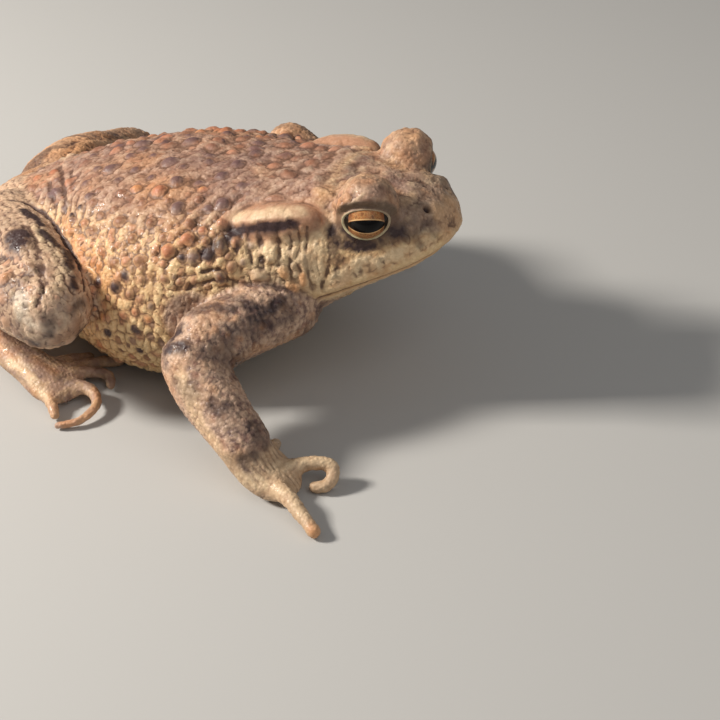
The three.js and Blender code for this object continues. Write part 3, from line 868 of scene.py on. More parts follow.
# Lines and spots of their own: points (y outwards), width, rise, and how dark, pale or warm
faceMarks = [
    ([(26.8, 12, 31.4), (26.6, 12.4, 30.9), (27.4, 12.8, 30.3), (28.4, 12.9, 29.6), (29.6, 12.7, 29.2),
      (31, 12.2, 29.2), (32.7, 11.5, 29.4)], 1.0, -0.1, {"dark": 1.1}),
    ([(32.2, 11.6, 29.3), (34.3, 10.6, 29.6), (35.6, 9.8, 30), (36.6, 9.1, 30.3), (37.6, 8.4, 30.5)],
     0.85, -0.05, {"dark": 0.75}),
    ([(27.2, 13.2, 29.4), (27.5, 13.7, 27.9), (28.4, 13.6, 27)], 1.0, -0.1, {"dark": 0.7}),
    ([(37.6, 8.4, 30.3), (38.5, 7.5, 30.8), (39, 6.3, 31.5)], 0.8, 0, {"dark": 0.6}),
    ([(38.4, 8, 30.2), (38.7, 7.6, 29)], 0.7, 0, {"dark": 0.7}),
    ([(39.8, 5.9, 30.4), (40.6, 5.4, 29.4)], 0.5, 0, {"dark": 0.6}),
    ([(36.9, 7.7, 32), (37.6, 6.9, 32.2)], 1.0, 0, {"dark": 0.5}),
    ([(37.3, 4.4, 33.6)], 0.9, 0, {"dark": 0.35}),
    ([(35.5, 5.6, 33.8), (34.6, 6.6, 34.2)], 1.2, 0, {"dark": 0.35}),
    ([(39.7, 4.9, 31.6)], 0.8, 0, {"dark": 0.4}),
    ([(30.4, 13, 26.2), (31.7, 12.1, 27)], 0.8, 0.1, {"pale": 0.95}),
    ([(27.8, 14.1, 23.8), (29.2, 13.5, 24.5), (30.1, 13, 25.8), (31.1, 12.4, 26.6), (32.4, 11.9, 26.8)],
     1.2, 0.1, {"pale": 1.3}),
    ([(33.6, 11.3, 26.8), (35.2, 10.5, 27.6), (36.5, 9.7, 28.2)], 1.0, 0.05, {"pale": 1.2}),
    ([(38.7, 7.2, 30.9), (39.6, 5.8, 30.6)], 0.6, 0, {"pale": 0.6}),
    ([(27.4, 14.4, 23.2), (29.1, 13.6, 24.4), (31.8, 12.3, 25.6), (34.5, 10.8, 26.8), (37.1, 9.2, 28),
      (39.8, 5.9, 29)], 1.2, 0.08, {"pale": 0.75}),
    ([(28, 14, 25.6), (28.2, 14.2, 24.6)], 0.45, -0.1, {"dark": 0.6}),
    ([(31.2, 12.4, 26.2), (31.3, 12.6, 25.2)], 0.25, -0.1, {"dark": 0.5}),
    ([(34, 11.2, 27.4), (34.4, 11.2, 26.6)], 0.3, -0.1, {"dark": 0.5}),
    ([(40.9, 0, 31.6), (41.7, 0, 29.8)], 2.2, 0, {"warm": 0.5, "pale": 0.7}),
    ([(40.3, 2.9, 31.9), (41.1, 2.9, 30.3), (41.5, 2.8, 28.6)], 1.7, 0, {"warm": 0.45, "pale": 0.7}),
    ([(35.8, 3.5, 34.3), (34.9, 5.2, 34)], 1.0, 0.12, {"pale": 0.5, "warm": 0.25}),
    ([(25.6, 10.8, 33), (26.3, 11.5, 32.3), (26.8, 12.1, 31.6)], 0.9, 0, {"pale": 0.6, "warm": 0.2}),
    ([(28.2, 12.7, 34.8), (29.7, 12.8, 36.3), (30.8, 12.3, 37.4), (31.4, 11.8, 37.8)],
     0.3, 0.1, {"pale": 0.4}),
    ([(28, 12.1, 36), (29, 12.1, 37)], 0.8, 0.4, {"warm": 0.65}),
    ([(26, 10.2, 34.4), (26.8, 11, 35.2)], 0.7, 0.35, {"warm": 0.4}),
    ([(11.6, 14.2, 31.3), (12.6, 14.5, 31.7), (14.3, 14.7, 32.4), (16.3, 14.7, 33), (18.2, 14.2, 33.6),
      (20.5, 13.7, 34.1), (22, 13.3, 34.2)], 1.15, 0, {"pale": 0.85}),
    ([(11.6, 15.9, 29.6), (13.3, 16, 30.2), (15, 16.1, 30.8), (17, 16, 31.5), (18.6, 15.8, 32),
      (20.2, 15.6, 32.2), (22, 15.3, 32.2)], 1.05, -0.3, {"dark": 1.15}),
    ([(14.6, 16.2, 30.2), (15.9, 16.4, 30.4), (18.8, 16.2, 31.2), (20.5, 15.9, 31.9)],
     0.8, -0.15, {"dark": 0.7}),
    ([(11.9, 15.9, 29.8), (11.1, 16.9, 28.9), (10.7, 17.5, 28.4), (9.4, 18.4, 27.6), (8.6, 19.1, 27.1)],
     0.95, -0.1, {"dark": 1}),
    ([(14.3, 16.1, 29.5), (14.6, 17, 28), (15.7, 17.7, 26.2)], 0.4, -0.2, {"dark": 0.6}),
    ([(13.2, 16.8, 29.4), (13, 17.6, 27.6)], 0.5, -0.2, {"dark": 0.8}),
    ([(16.2, 16.6, 30.4), (16.6, 17, 28.8)], 0.5, -0.2, {"dark": 0.8}),
    ([(19.2, 16, 30.9), (19.5, 16.4, 28.6), (19.9, 16.7, 25.6)], 0.3, -0.15, {"dark": 0.4}),
    ([(21.2, 15.6, 31.5), (21.2, 16.2, 27.6), (21.7, 16.6, 23.4)], 0.3, -0.18, {"dark": 0.45}),
    ([(22.5, 15.2, 31.6), (22.6, 15.8, 27.4), (22.9, 16.2, 23)], 0.28, -0.15, {"dark": 0.35}),
    ([(23.7, 14.6, 31.7), (23.5, 15.2, 28), (23.9, 15.4, 25), (24.5, 15.2, 22.2)], 0.3, -0.14, {"dark": 0.4}),
    ([(26.5, 13, 30.6), (26.7, 13.8, 28.4), (26.9, 14.4, 26.2), (26.1, 15, 23.4), (25.9, 15, 22.2)],
     0.3, -0.14, {"dark": 0.45}),
    ([(24.9, 13.9, 30.4), (25.2, 14.4, 28.2), (25.2, 14.7, 25.6), (25.2, 15, 24)], 0.95, 0.12, {"pale": 1}),
    ([(20.4, 15.8, 29.6), (20.6, 16.2, 27.4)], 0.6, 0.15, {"pale": 0.85}),
    ([(22, 15.5, 29.4), (22.2, 15.9, 27)], 0.5, 0.15, {"pale": 0.8}),
    ([(23.1, 15, 30), (23.1, 15.4, 27)], 0.4, 0.15, {"pale": 0.8}),
    ([(18, 16.1, 28.2), (18.2, 16.5, 26.9)], 0.9, 0.5, {"pale": 0.95}),
    ([(17.2, 17.2, 26.6), (17, 17.4, 25.2)], 0.6, -0.3, {"dark": 0.9}),
    ([(20.4, 16.7, 25.3), (20.6, 16.8, 24.6)], 0.75, 0.45, {"warm": 0.95}),
    ([(21.5, 16.8, 22.8), (22.1, 16.6, 22.6)], 0.8, 0.45, {"warm": 0.95, "pale": 0.2}),
    ([(23.2, 16, 24.3), (23.3, 16, 23.4)], 0.75, 0.4, {"warm": 0.95}),
    ([(7, 22.4, 22), (8.7, 21.6, 22.7), (12.2, 20, 23.5), (15.8, 18.8, 22.8), (21.5, 16.8, 22)],
     0.4, -0.2, {"dark": 0.5}),
    ([(9, 21, 24.6), (11, 19.8, 25)], 0.4, -0.3, {"dark": 0.55}),
    ([(21.2, 5.4, 35.2)], 1.1, 0.4, {"dark": 0.3}),
    ([(18.4, 2.4, 35.1)], 1.1, 0.4, {"dark": 0.35}),
    ([(14.6, 3.7, 34.6)], 1.0, 0.4, {"dark": 0.3}),
    ([(24.5, 2.2, 35.9), (26.2, 3.6, 35.9)], 1.2, 0.15, {"dark": 0.3}),
    ([(22.3, 7.8, 34.4), (23.9, 8.4, 34.5)], 0.9, 0.35, {"warm": 0.35}),
]
rightMarks = [
    ([(8.6, 28.4, 18.6), (7.4, 31.2, 16.6), (9.5, 31.7, 17.8), (11, 31.4, 18.4)], 1.2, 0, {"dark": 1.0}),
    ([(11.1, 25.7, 21.1), (12.5, 24.4, 21.5), (14.2, 25.3, 21.3), (15.7, 24, 21.6)], 0.9, 0, {"dark": 0.85}),
    ([(17.3, 22.7, 21.6), (19.3, 22.1, 20.7), (20.8, 18.9, 21.3)], 1.3, 0, {"dark": 1.0}),
    ([(20.5, 22.1, 18.7), (18.2, 24.1, 20.2)], 1.1, 0, {"dark": 0.9}),
    ([(22.3, 18.7, 19.8)], 0.9, 0, {"dark": 0.6}),
    ([(14.4, 31, 17.6), (15, 31.4, 16.8)], 0.7, 0, {"dark": 0.5}),
    ([(17.4, 36.2, 12.4), (19, 36.4, 11.9), (19.8, 35.2, 12.3)], 1.0, 0, {"dark": 0.95}),
    ([(17.4, 35.8, 13.2)], 0.7, 0, {"dark": 0.9}),
    ([(22.9, 35.2, 8.6), (23.6, 35.8, 7.2), (25.2, 35.8, 7)], 1.1, 0, {"dark": 0.9}),
    ([(25, 37.7, 6.5), (23.3, 39.3, 5.8), (24.7, 39.6, 5)], 1.0, 0, {"dark": 0.8}),
    ([(14.4, 28, 19.8)], 0.6, 0.1, {"warm": 0.8}),
    ([(16.3, 25.4, 20.7)], 0.6, 0.1, {"warm": 0.7}),
    ([(16.2, 27.4, 19.2)], 0.6, 0.1, {"warm": 0.8}),
    ([(19.7, 23.2, 19.1)], 0.6, 0.1, {"warm": 0.8}),
    ([(17.6, 26.4, 18.2)], 0.5, 0.1, {"warm": 0.7}),
    ([(11.8, 34.9, 14.5), (14, 36.3, 12.4), (16.1, 37.7, 8.5), (19, 38.7, 7.6)],
     1.5, 0, {"pale": 0.8, "warm": 0.15}),
    ([(23.5, 39.9, 3), (27, 39.9, 3.2)], 1.2, 0.1, {"pale": 0.85}),
    ([(27.5, 38, 4.7), (29.5, 35.6, 4.4), (32, 33, 4.6), (34.6, 32, 4)], 1.1, 0, {"pale": 0.7}),
    ([(29.6, 40.8, 3.7), (31.8, 40.6, 4), (35, 42.8, 2.8)], 1.0, 0, {"pale": 0.6}),
    ([(37.2, 44.6, 1.8), (38.4, 45.3, 1.3)], 1.4, 0, {"warm": 0.9}),
    ([(-23.4, 22.6, 24.5), (-21.8, 24.4, 24.2)], 2.4, 0.4, {"dark": 1.25, "warm": 0.4}),
    ([(-16.4, 28.7, 23.2), (-17.3, 27.5, 23.6)], 0.75, 0.45, {"dark": 0.4, "warm": 0.2}),
    ([(-19.8, 30.2, 22.2)], 0.75, 0.45, {"warm": 0.55, "dark": 0.2}),
    ([(-18.9, 27.3, 23.6)], 0.6, 0.35, {"dark": 0.4}),
    ([(-16.6, 30.5, 22.5)], 0.7, 0.4, {"dark": 0.45}),
    ([(-17.7, 32.1, 21.2)], 0.6, 0.35, {"dark": 0.35}),
    ([(-16.1, 26.7, 23.9)], 0.6, 0.25, {"dark": 0.4}),
    ([(-13.5, 31.7, 22.3)], 0.6, 0.25, {"dark": 0.4}),
    ([(-11.5, 30, 21.8)], 0.6, 0.1, {"dark": 0.5}),
    ([(-14.6, 21.4, 23.2), (-12.3, 24.6, 22.7)], 1.1, 0.1, {"dark": 1.35}),
    ([(-10.6, 26.6, 22.1), (-10.1, 27.7, 21.6)], 1.0, 0.1, {"dark": 1.35}),
    ([(-20.1, 19.8, 24.5), (-17.8, 20.5, 24.1), (-16.4, 21.2, 23.8)], 0.9, 0.1, {"dark": 1.35}),
    ([(-26.6, 14.8, 24.4), (-24.2, 16.2, 24.5), (-21.4, 18, 24.5)], 0.9, 0.1, {"dark": 1.35}),
    ([(-15.4, 22, 23.6), (-13, 25.6, 23.3), (-11.6, 28.8, 22)], 1.5, 0, {"pale": 0.9}),
    ([(-21, 19.4, 24.9), (-17, 22.6, 24.4)], 1.3, 0, {"pale": 0.9}),
    ([(-14.9, 33.8, 20.4)], 0.8, -0.1, {"dark": 0.4}),
    ([(-13.6, 33, 20.6), (-15.6, 34.4, 19.4)], 1.4, 0.1, {"pale": 0.4}),
    # a fine dark line along the fold on the thigh, with painted shade in its valley
    ([(-22.8, 19.8, 25.1), (-17.8, 24.5, 24.5), (-14.5, 28.9, 23.2), (-12.8, 31.5, 22), (-12.9, 33.1, 20.6)],
     0.6, -0.22, {"dark": 0.3}),
    # painted shade: a dark line in the groove where the thigh meets the body
    ([(-31.7, 11.6, 24), (-28, 11, 23.5), (-23.8, 13.1, 23.6), (-18.6, 17, 23), (-13.3, 21.5, 21.7),
      (-9.3, 26.2, 20.2)], 0.4, -0.35, {"dark": 0.8}),
    ([(-18.1, 15.5, 25), (-16.6, 17, 24.4), (-15.4, 18.1, 23.8), (-14.1, 19.5, 23), (-12.8, 20.7, 21.8),
      (-11.6, 21.8, 20.2)], 1.0, 0.25, {"warm": 0.6}),
    # painted shade: dark in the valleys of the folds on the back above the hips
    ([(-28.6, 0.3, 25.4), (-24.5, 6.2, 26.5), (-20.8, 11.6, 26.2), (-18.8, 14.5, 25.4)],
     0.5, -0.3, {"dark": 0.35}),
    ([(-24.7, 3.2, 26.9), (-20, 9.7, 27.3)], 0.5, -0.2, {"dark": 0.25}),
    ([(-27.7, 5.4, 25.5), (-25.7, 8.2, 25.4), (-22.4, 11.9, 25.2)], 0.55, -0.28, {"dark": 0.3}),
    ([(-9.6, 32, 17.6), (-10.6, 33.4, 17.4)], 0.9, 0, {"dark": 0.35}),
    ([(-9.2, 30.3, 16.3), (-9.7, 32.5, 15.2)], 1.7, 0, {"dark": 0.5, "warm": 0.45}),
    # painted shade: darker along the lower edge of the knee
    ([(-8.6, 33.6, 13.2), (-12.6, 35.4, 12.6), (-16.6, 33.6, 11.8)], 1.4, 0, {"dark": 0.4}),
    # a milky band over the top of the knee, partly a painted highlight
    ([(-16.1, 33.1, 20.7), (-13.4, 34.5, 18.1), (-10.7, 34, 17.2)], 1.5, 0, {"milk": 1}),
    ([(-6.4, 29.6, 16.8), (-6.2, 31, 14)], 1.0, 0, {"dark": 0.35}),
    ([(-26.5, 23.8, 6.6), (-19.9, 26.7, 5.5), (-16.2, 27.7, 4.6), (-12.5, 27.9, 4.2)], 1.2, 0, {"dark": 0.7}),
    ([(-23.4, 28.4, 4.6), (-19.9, 29.5, 4.3), (-17, 31.2, 3.4), (-14.7, 32.8, 3)], 1.0, 0, {"pale": 0.95}),
    ([(-7.2, 27.8, 3.6), (-5.6, 30.2, 2.6), (-6.2, 33.8, 1.8), (-9, 36, 1.4)], 1.0, 0, {"warm": 0.6}),
    ([(-14, 32, 2.6), (-11.4, 34.8, 1.4)], 0.9, 0, {"warm": 0.4}),
    ([(-10, 22.8, 3.6), (-7.4, 23.6, 2.2)], 0.9, 0, {"dark": 0.4}),
    ([(-25.5, 24.4, 6.6), (-23, 26, 5.8)], 0.9, 0, {"warm": 0.4}),
]
leftMarks = [
    ([(-38.6, 11.2, 20.9), (-35.8, 11.3, 21.4), (-35.1, 13.7, 20.9)], 0.8, -0.1, {"dark": 0.6}),
    ([(-29.5, 3, 24.9), (-31.4, 9, 22.8), (-33.7, 14.1, 20.5), (-33, 17.6, 19.7), (-32.9, 22.5, 18.3),
      (-32.7, 27.5, 16.8)], 0.9, 0.3, {"pale": 0.55}),
    ([(-35.8, 20.4, 19.8), (-35.4, 23.3, 18.8), (-34.7, 27.4, 17.6), (-34.3, 32.1, 16.1)],
     1.9, 0.1, {"dark": 0.45}),
    ([(-37.4, 18.2, 20), (-35.6, 18.4, 20.2), (-34.2, 17.8, 20)], 0.8, -0.1, {"dark": 0.6}),
    ([(-38, 9, 20.8), (-36.6, 14.4, 21), (-36, 18.4, 20)], 2.6, 0, {"warm": 0.35, "pale": 0.1}),
    ([(-35.4, 24, 18.6), (-34.6, 30, 16.6), (-34.4, 36, 14)], 2.2, 0.3, {"dark": 0.35, "warm": 0.3}),
    ([(3.4, 21.6, 29), (5.1, 21.3, 29.6), (7.4, 20.5, 28.8)], 3.2, 0, {"pale": 0.35, "warm": 0.55}),
]
smoothSpots = [  # right side: where the skin is smooth and pale
    ([(-9.2, 31.6, 17), (-9.4, 31.6, 14.8), (-12.7, 34.4, 15.4)], 3.8),
    ([(-8.9, 28.6, 19), (-10.2, 30.6, 19.4)], 2.0),
]


def mark(line, side, width, rise, amounts):
    # presses a line or spot into the skin, or raises it, and adds to its tones; its edge wavers
    near, distance = snapped(np.array(line, float) * (1, side, 1), width + 1)
    p = start[near]
    distance = distance + 0.4 * width * noise(p, 0.5 + width, 31) + 0.12 * noise(p, 0.4, 32)
    amount = smooth(1.3, 0.45, distance / width)
    creases[near] += rise * amount
    broken = np.clip(amount * (0.9 + 0.3 * noise(start[near], 0.9, 33)), 0, 1)
    for name, value in amounts.items():
        tint(name, value * broken, near)
    return near, amount


for side in sides.values():
    for line, width, rise, values in faceMarks:
        mark(line, side, width, rise, values)
for side, marks in ((-1, rightMarks), (1, leftMarks)):
    for line, width, rise, values in marks:
        mark(line, side, width, rise, values)
calm = np.ones(len(start))
for line, width in smoothSpots:
    near, amount = mark(line, -1, width, 0, {"milk": 0.42})
    calm[near] = np.minimum(calm[near], 1 - 0.5 * amount)
    creases[near] = creases[near] * (1 - 0.4 * amount)
print("marks made")

# The line between the lips, with a full upper lip, and the nostrils
fromLips = z - mouthZ
lips = face * smooth(24.2, 26, x) * smooth(90, 75, np.abs(theta))
slit = smooth(0.42, 0.05, np.abs(fromLips))
creases = creases + lips * (0.2 * between(0.4, 1.7, fromLips, 0.4) - 0.5 * slit)
# painted shade: dark along the slit between the lips
tint("dark", lips * 0.8 * smooth(0.4, 0.1, np.abs(fromLips)))
tint("warm", lips * 0.45 * smooth(0.9, 0.3, np.abs(fromLips)))
tint("pale", lips * 0.75 * between(-1.6, -0.35, fromLips, 0.3))
upperLip = lips * between(0.6, 4.2, fromLips, 0.6) * smooth(39, 35, x)
creases = creases + upperLip * (0.14 * noise(start, 1.5, 40) + 0.07 * noise(start, 0.7, 41))
for spot in bothSides(head["nostril"]):
    near, distance = snapped(spot, 2)
    s = distance / head["nostrilRadius"]
    creases[near] += 0.14 * np.exp(-((s - 1.9) / 0.55) ** 2) - 0.9 * smooth(1.3, 0.4, s)
    # painted shade: dark in the hole of each nostril
    tint("dark", smooth(1.35, 0.8, s), near)
    calm[near] = np.minimum(calm[near], smooth(1, 2.4, s))

# The broad tones: a dark band below the eye, a warm brow, cream through the folds of the neck, freckles,
# mottled limbs and streaks along the feet
belowEye = smooth(0.35, -0.45, np.sin(eyeTurn)) * between(1.03, 1.36, fromEye, 0.04)
brow = smooth(0.1, 0.6, np.sin(eyeTurn)) * between(1.35, 2.1, fromEye, 0.15)
lidBack = crown * between(2.0, 3.3, fromEye, 0.3)
freckles = face * smooth(15, 35, theta) * besideEye * smooth(39.5, 36, x)
farThigh = thigh * left
washes = [  # tone, where, its mean and how far it wavers, size of the waves, seed
    ("dark", belowEye, 0.9, 0.35, 0.8, 35),
    ("warm", brow, 0.12, 0.3, 2, 39),
    ("warm", lidBack, 0.3, 0.3, 1.4, 45),
    ("pale", lidBack, 0.3, 0.3, 1.8, 46),
    ("pale", neck * smooth(11, 19, x), 0.75, 0.35, 1.2, 36),
    ("warm", farThigh, 0.5, 0.4, 3.5, 51),
]
for tone, where, mean, waver, size, seed in washes:
    tint(tone, where * (mean + waver * noise(start, size, seed)))
mottles = [  # tone, where, strength, the noise at which it starts and is full, size of the noise, seed
    ("dark", upperLip, 0.12, 0.2, 0.7, 1.3, 42),
    ("warm", upperLip, 0.35, 0.1, 0.6, 1.6, 43),
    ("pale", upperLip, 0.5, 0.1, 0.6, 1.2, 44),
    ("dark", freckles, 0.4, 0.25, 0.6, 0.9, 47),
    ("warm", freckles, 0.35, 0.2, 0.6, 1.5, 48),
    ("pale", freckles, 0.4, 0.2, 0.6, 1.1, 49),
    ("dark", armpit, 0.75, -0.1, 0.4, 1.8, 50),
    ("dark", farThigh, 0.7, 0.15, 0.5, 4, 52),
]
for tone, where, strength, low, full, size, seed in mottles:
    tint(tone, strength * where * smooth(low, full, noise(start, size, seed)))
patchy = smooth(-0.1, 0.5, noise(start, 3, 37) + 0.4 * noise(start, 1, 38))
tint("dark", upperArm * (~left) * 0.55 * patchy)
mottled = 0.25 * foot * (1 - digit) + 0.42 * arm + 0.25 * hand * (1 - digit) + 0.5 * shank + 0.3 * thigh
tint("dark", mottled * patchy)
# on the feet the noise is drawn out to five times its length along the foot
alongFoot = mirrored @ np.array([(0.93 / 5, 0.35, 0), (0.35 / 5, -0.93, 0), (0, 0, 1)])
streak = noise(alongFoot, 1, 53) * foot * (1 - digit)
tint("dark", 0.5 * smooth(0, 0.35, streak))
tint("warm", 0.6 * smooth(0, 0.4, -streak))

calm = calm * besideEye * besideMouth * (1 - 0.9 * glandMask)
height = (height + lumps) * calm + creases * smooth(1.02, 1.2, fromEye)
height = height - 0.15 * smooth(1.0, 1.3, fromEye)


def hollows(values, rounds, depth):
    # how far each point lies below the mean round it: 1 at this depth, and -1 on a crest as high
    mean = values[:, None]
    for _ in range(rounds):
        mean = flesh.middle(mean)
    return np.clip((mean[:, 0] - values) / depth, -1, 1)


# the depth of each point in the relief: the skin's colour turns it into painted shade in the hollows and
# painted light on the crests, less of both on the neck
tones["hollow"] = (0.6 * hollows(height, 8, 0.09) + 0.4 * hollows(height, 50, 0.25)) * (1 - 0.35 * neck)
flesh.co = flesh.co + flesh.normals(4) * height[:, None]
flesh.co[:, 2] = np.maximum(flesh.co[:, 2], 0)
print("relief raised")

rim = between(0.973, 1.024, fromEye, 0.02)
upperGroove = between(1.07, 1.34, fromEye, 0.05) * smooth(-0.2, 0.3, np.sin(eyeTurn))
regions = {
    "back": np.maximum(top, 0.9 * crown),
    "face": face * smooth(32, 37, x) * smooth(20, 35, theta),
    "gland": glandMask,
    "limb": arm,
    "leg": leg,
    "hand": hand + foot,
    "foot": foot,
    "under": under,
    "warmZone": warmZone,
    "lid": rim * (0.45 + 0.55 * smooth(0.3, -0.5, np.cos(eyeTurn - 1))),
    # painted shade in the groove above each eye and along the lids' edges where they tuck in against the
    # eyeball
    "lidFoldShade": upperGroove + smooth(0.96, 0.92, fromEye),
    "calm": calm,
}


def thinned(surface, values, triangles):
    # the skin's mesh with its values as attributes, brought down to this many triangles, fewest where it
    # is smooth
    obj = addMesh("skin", surface.co, surface.faces.tolist())
    mesh = obj.data
    for name, value in values.items():
        mesh.attributes.new(name, "FLOAT", "POINT").data.foreach_set("value", value.astype(np.float32))
    modifier = obj.modifiers.new("decimate", "DECIMATE")
    modifier.ratio = triangles / len(surface.faces)
    return finished(obj)


skinData = thinned(flesh, {**tones, **regions}, skinMesh["triangles"])
skin = bpy.data.objects.new("skin", skinData)
scene.collection.objects.link(skin)
skinData.shade_smooth()
print("skin finished,", len(skinData.polygons), "triangles")


# Materials

class Socket:
    # an output of a shader node that can stand in a sum

    def __init__(self, shader, source):
        self.shader, self.source = shader, source

    def math(self, operation, a, b=0.0):
        return self.shader.node("Math", {"operation": operation}, {0: a, 1: b})

    def __add__(self, other):
        return self.math("ADD", self, other)

    def __radd__(self, other):
        return self.math("ADD", other, self)

    def __sub__(self, other):
        return self.math("SUBTRACT", self, other)

    def __rsub__(self, other):
        return self.math("SUBTRACT", other, self)

    def __mul__(self, other):
        return self.math("MULTIPLY", self, other)

    def __rmul__(self, other):
        return self.math("MULTIPLY", other, self)

    def __truediv__(self, other):
        return self.math("DIVIDE", self, other)

    def __abs__(self):
        return self.math("ABSOLUTE", self)

    def most(self, limit):
        return self.math("MINIMUM", self, limit)

    def step(self, low, high):
        # 0 below low and 1 above high, with an S-curve between
        values = {"Value": self, "From Min": low, "From Max": high}
        return self.shader.node("MapRange", {"interpolation_type": "SMOOTHSTEP"}, values)


class Shader:
    # a material and the nodes made for it

    def __init__(self, name):
        self.material = bpy.data.materials.new(name)
        self.material.use_nodes = True
        self.tree = self.material.node_tree
        self.surface = self.tree.nodes["Principled BSDF"]
        self.place = self.node("TexCoord", {}, {}, "Object")

    def feed(self, target, value):
        if isinstance(value, Socket):
            self.tree.links.new(value.source, target)
        elif target.type == "RGBA":
            target.default_value = (*value, 1)
        else:
            target.default_value = value

    def node(self, kind, settings, inputs, output=0):
        made = self.tree.nodes.new("ShaderNode" + kind)
        for name, value in settings.items():
            setattr(made, name, value)
        for name, value in inputs.items():
            self.feed(made.inputs[name], value)
        return Socket(self, made.outputs[output])

    def value(self, name):
        return self.node("Attribute", {"attribute_name": name}, {}, "Fac")

    def mix(self, low, high, share):
        return self.node("Mix", {"data_type": "RGBA"}, {0: share, 6: low, 7: high}, 2)

    def multiply(self, low, high):
        settings = {"data_type": "RGBA", "blend_type": "MULTIPLY"}
        return self.node("Mix", settings, {0: 1.0, 6: low, 7: high}, 2)

    def grey(self, value, warmth):
        # a grey of this value, warmer where it is dark
        loss = (1 - value) * warmth
        values = {"Red": value, "Green": value - loss, "Blue": value - 2 * loss}
        return self.node("CombineColor", {}, values)

    def cloud(self, size, detail=2, rough=0.5, shift=0):
        # smooth noise from 0 to 1, its lumps about this many millimetres across
        moved = self.node("Mapping", {}, {"Vector": self.place, "Location": (shift, 0, 0)})
        values = {"Vector": moved, "Scale": 1 / (size * mm), "Detail": detail, "Roughness": rough}
        return self.node("TexNoise", {}, values, "Fac")

    def cells(self, size):
        # the distance to the middle of the nearest of many cells, about this many millimetres across
        values = {"Vector": self.place, "Scale": 1 / (size * mm)}
        return self.node("TexVoronoi", {}, values, "Distance")

    def finish(self, **inputs):
        for name, value in inputs.items():
            self.feed(self.surface.inputs[name.replace("_", " ")], value)
        return self.material


skinTones = {
    "cream": (0.76, 0.53, 0.28),
    "tan": (0.56, 0.32, 0.155),
    "warm": (0.68, 0.32, 0.12),
    # painted shade for the hollows of the relief
    "hollowShade": (0.12, 0.06, 0.036),
    "back": (0.34, 0.19, 0.13),
    "backPale": (0.52, 0.345, 0.25),
    "face": (0.24, 0.155, 0.105),
    "facePale": (0.39, 0.26, 0.18),
    "gland": (0.47, 0.245, 0.145),
    "mauve": (0.135, 0.065, 0.066),
    "brown": (0.27, 0.105, 0.055),
    "pink": (0.48, 0.20, 0.11),
    "redBrown": (0.42, 0.13, 0.06),
    "orange": (0.62, 0.27, 0.10),
    "dark": (0.036, 0.018, 0.020),
    "pale": (0.78, 0.58, 0.36),
    "milk": (0.66, 0.55, 0.42),
    "limb": (0.58, 0.39, 0.27),
    "limbDark": (0.17, 0.10, 0.085),
    "hand": (0.51, 0.355, 0.235),
    "foot": (0.33, 0.19, 0.155),
    "belly": (0.62, 0.43, 0.21),
    "lid": (0.44, 0.44, 0.28),
    # painted shade for the groove above each eye and the lids' inner edges
    "lidFoldShade": (0.10, 0.07, 0.045),
}


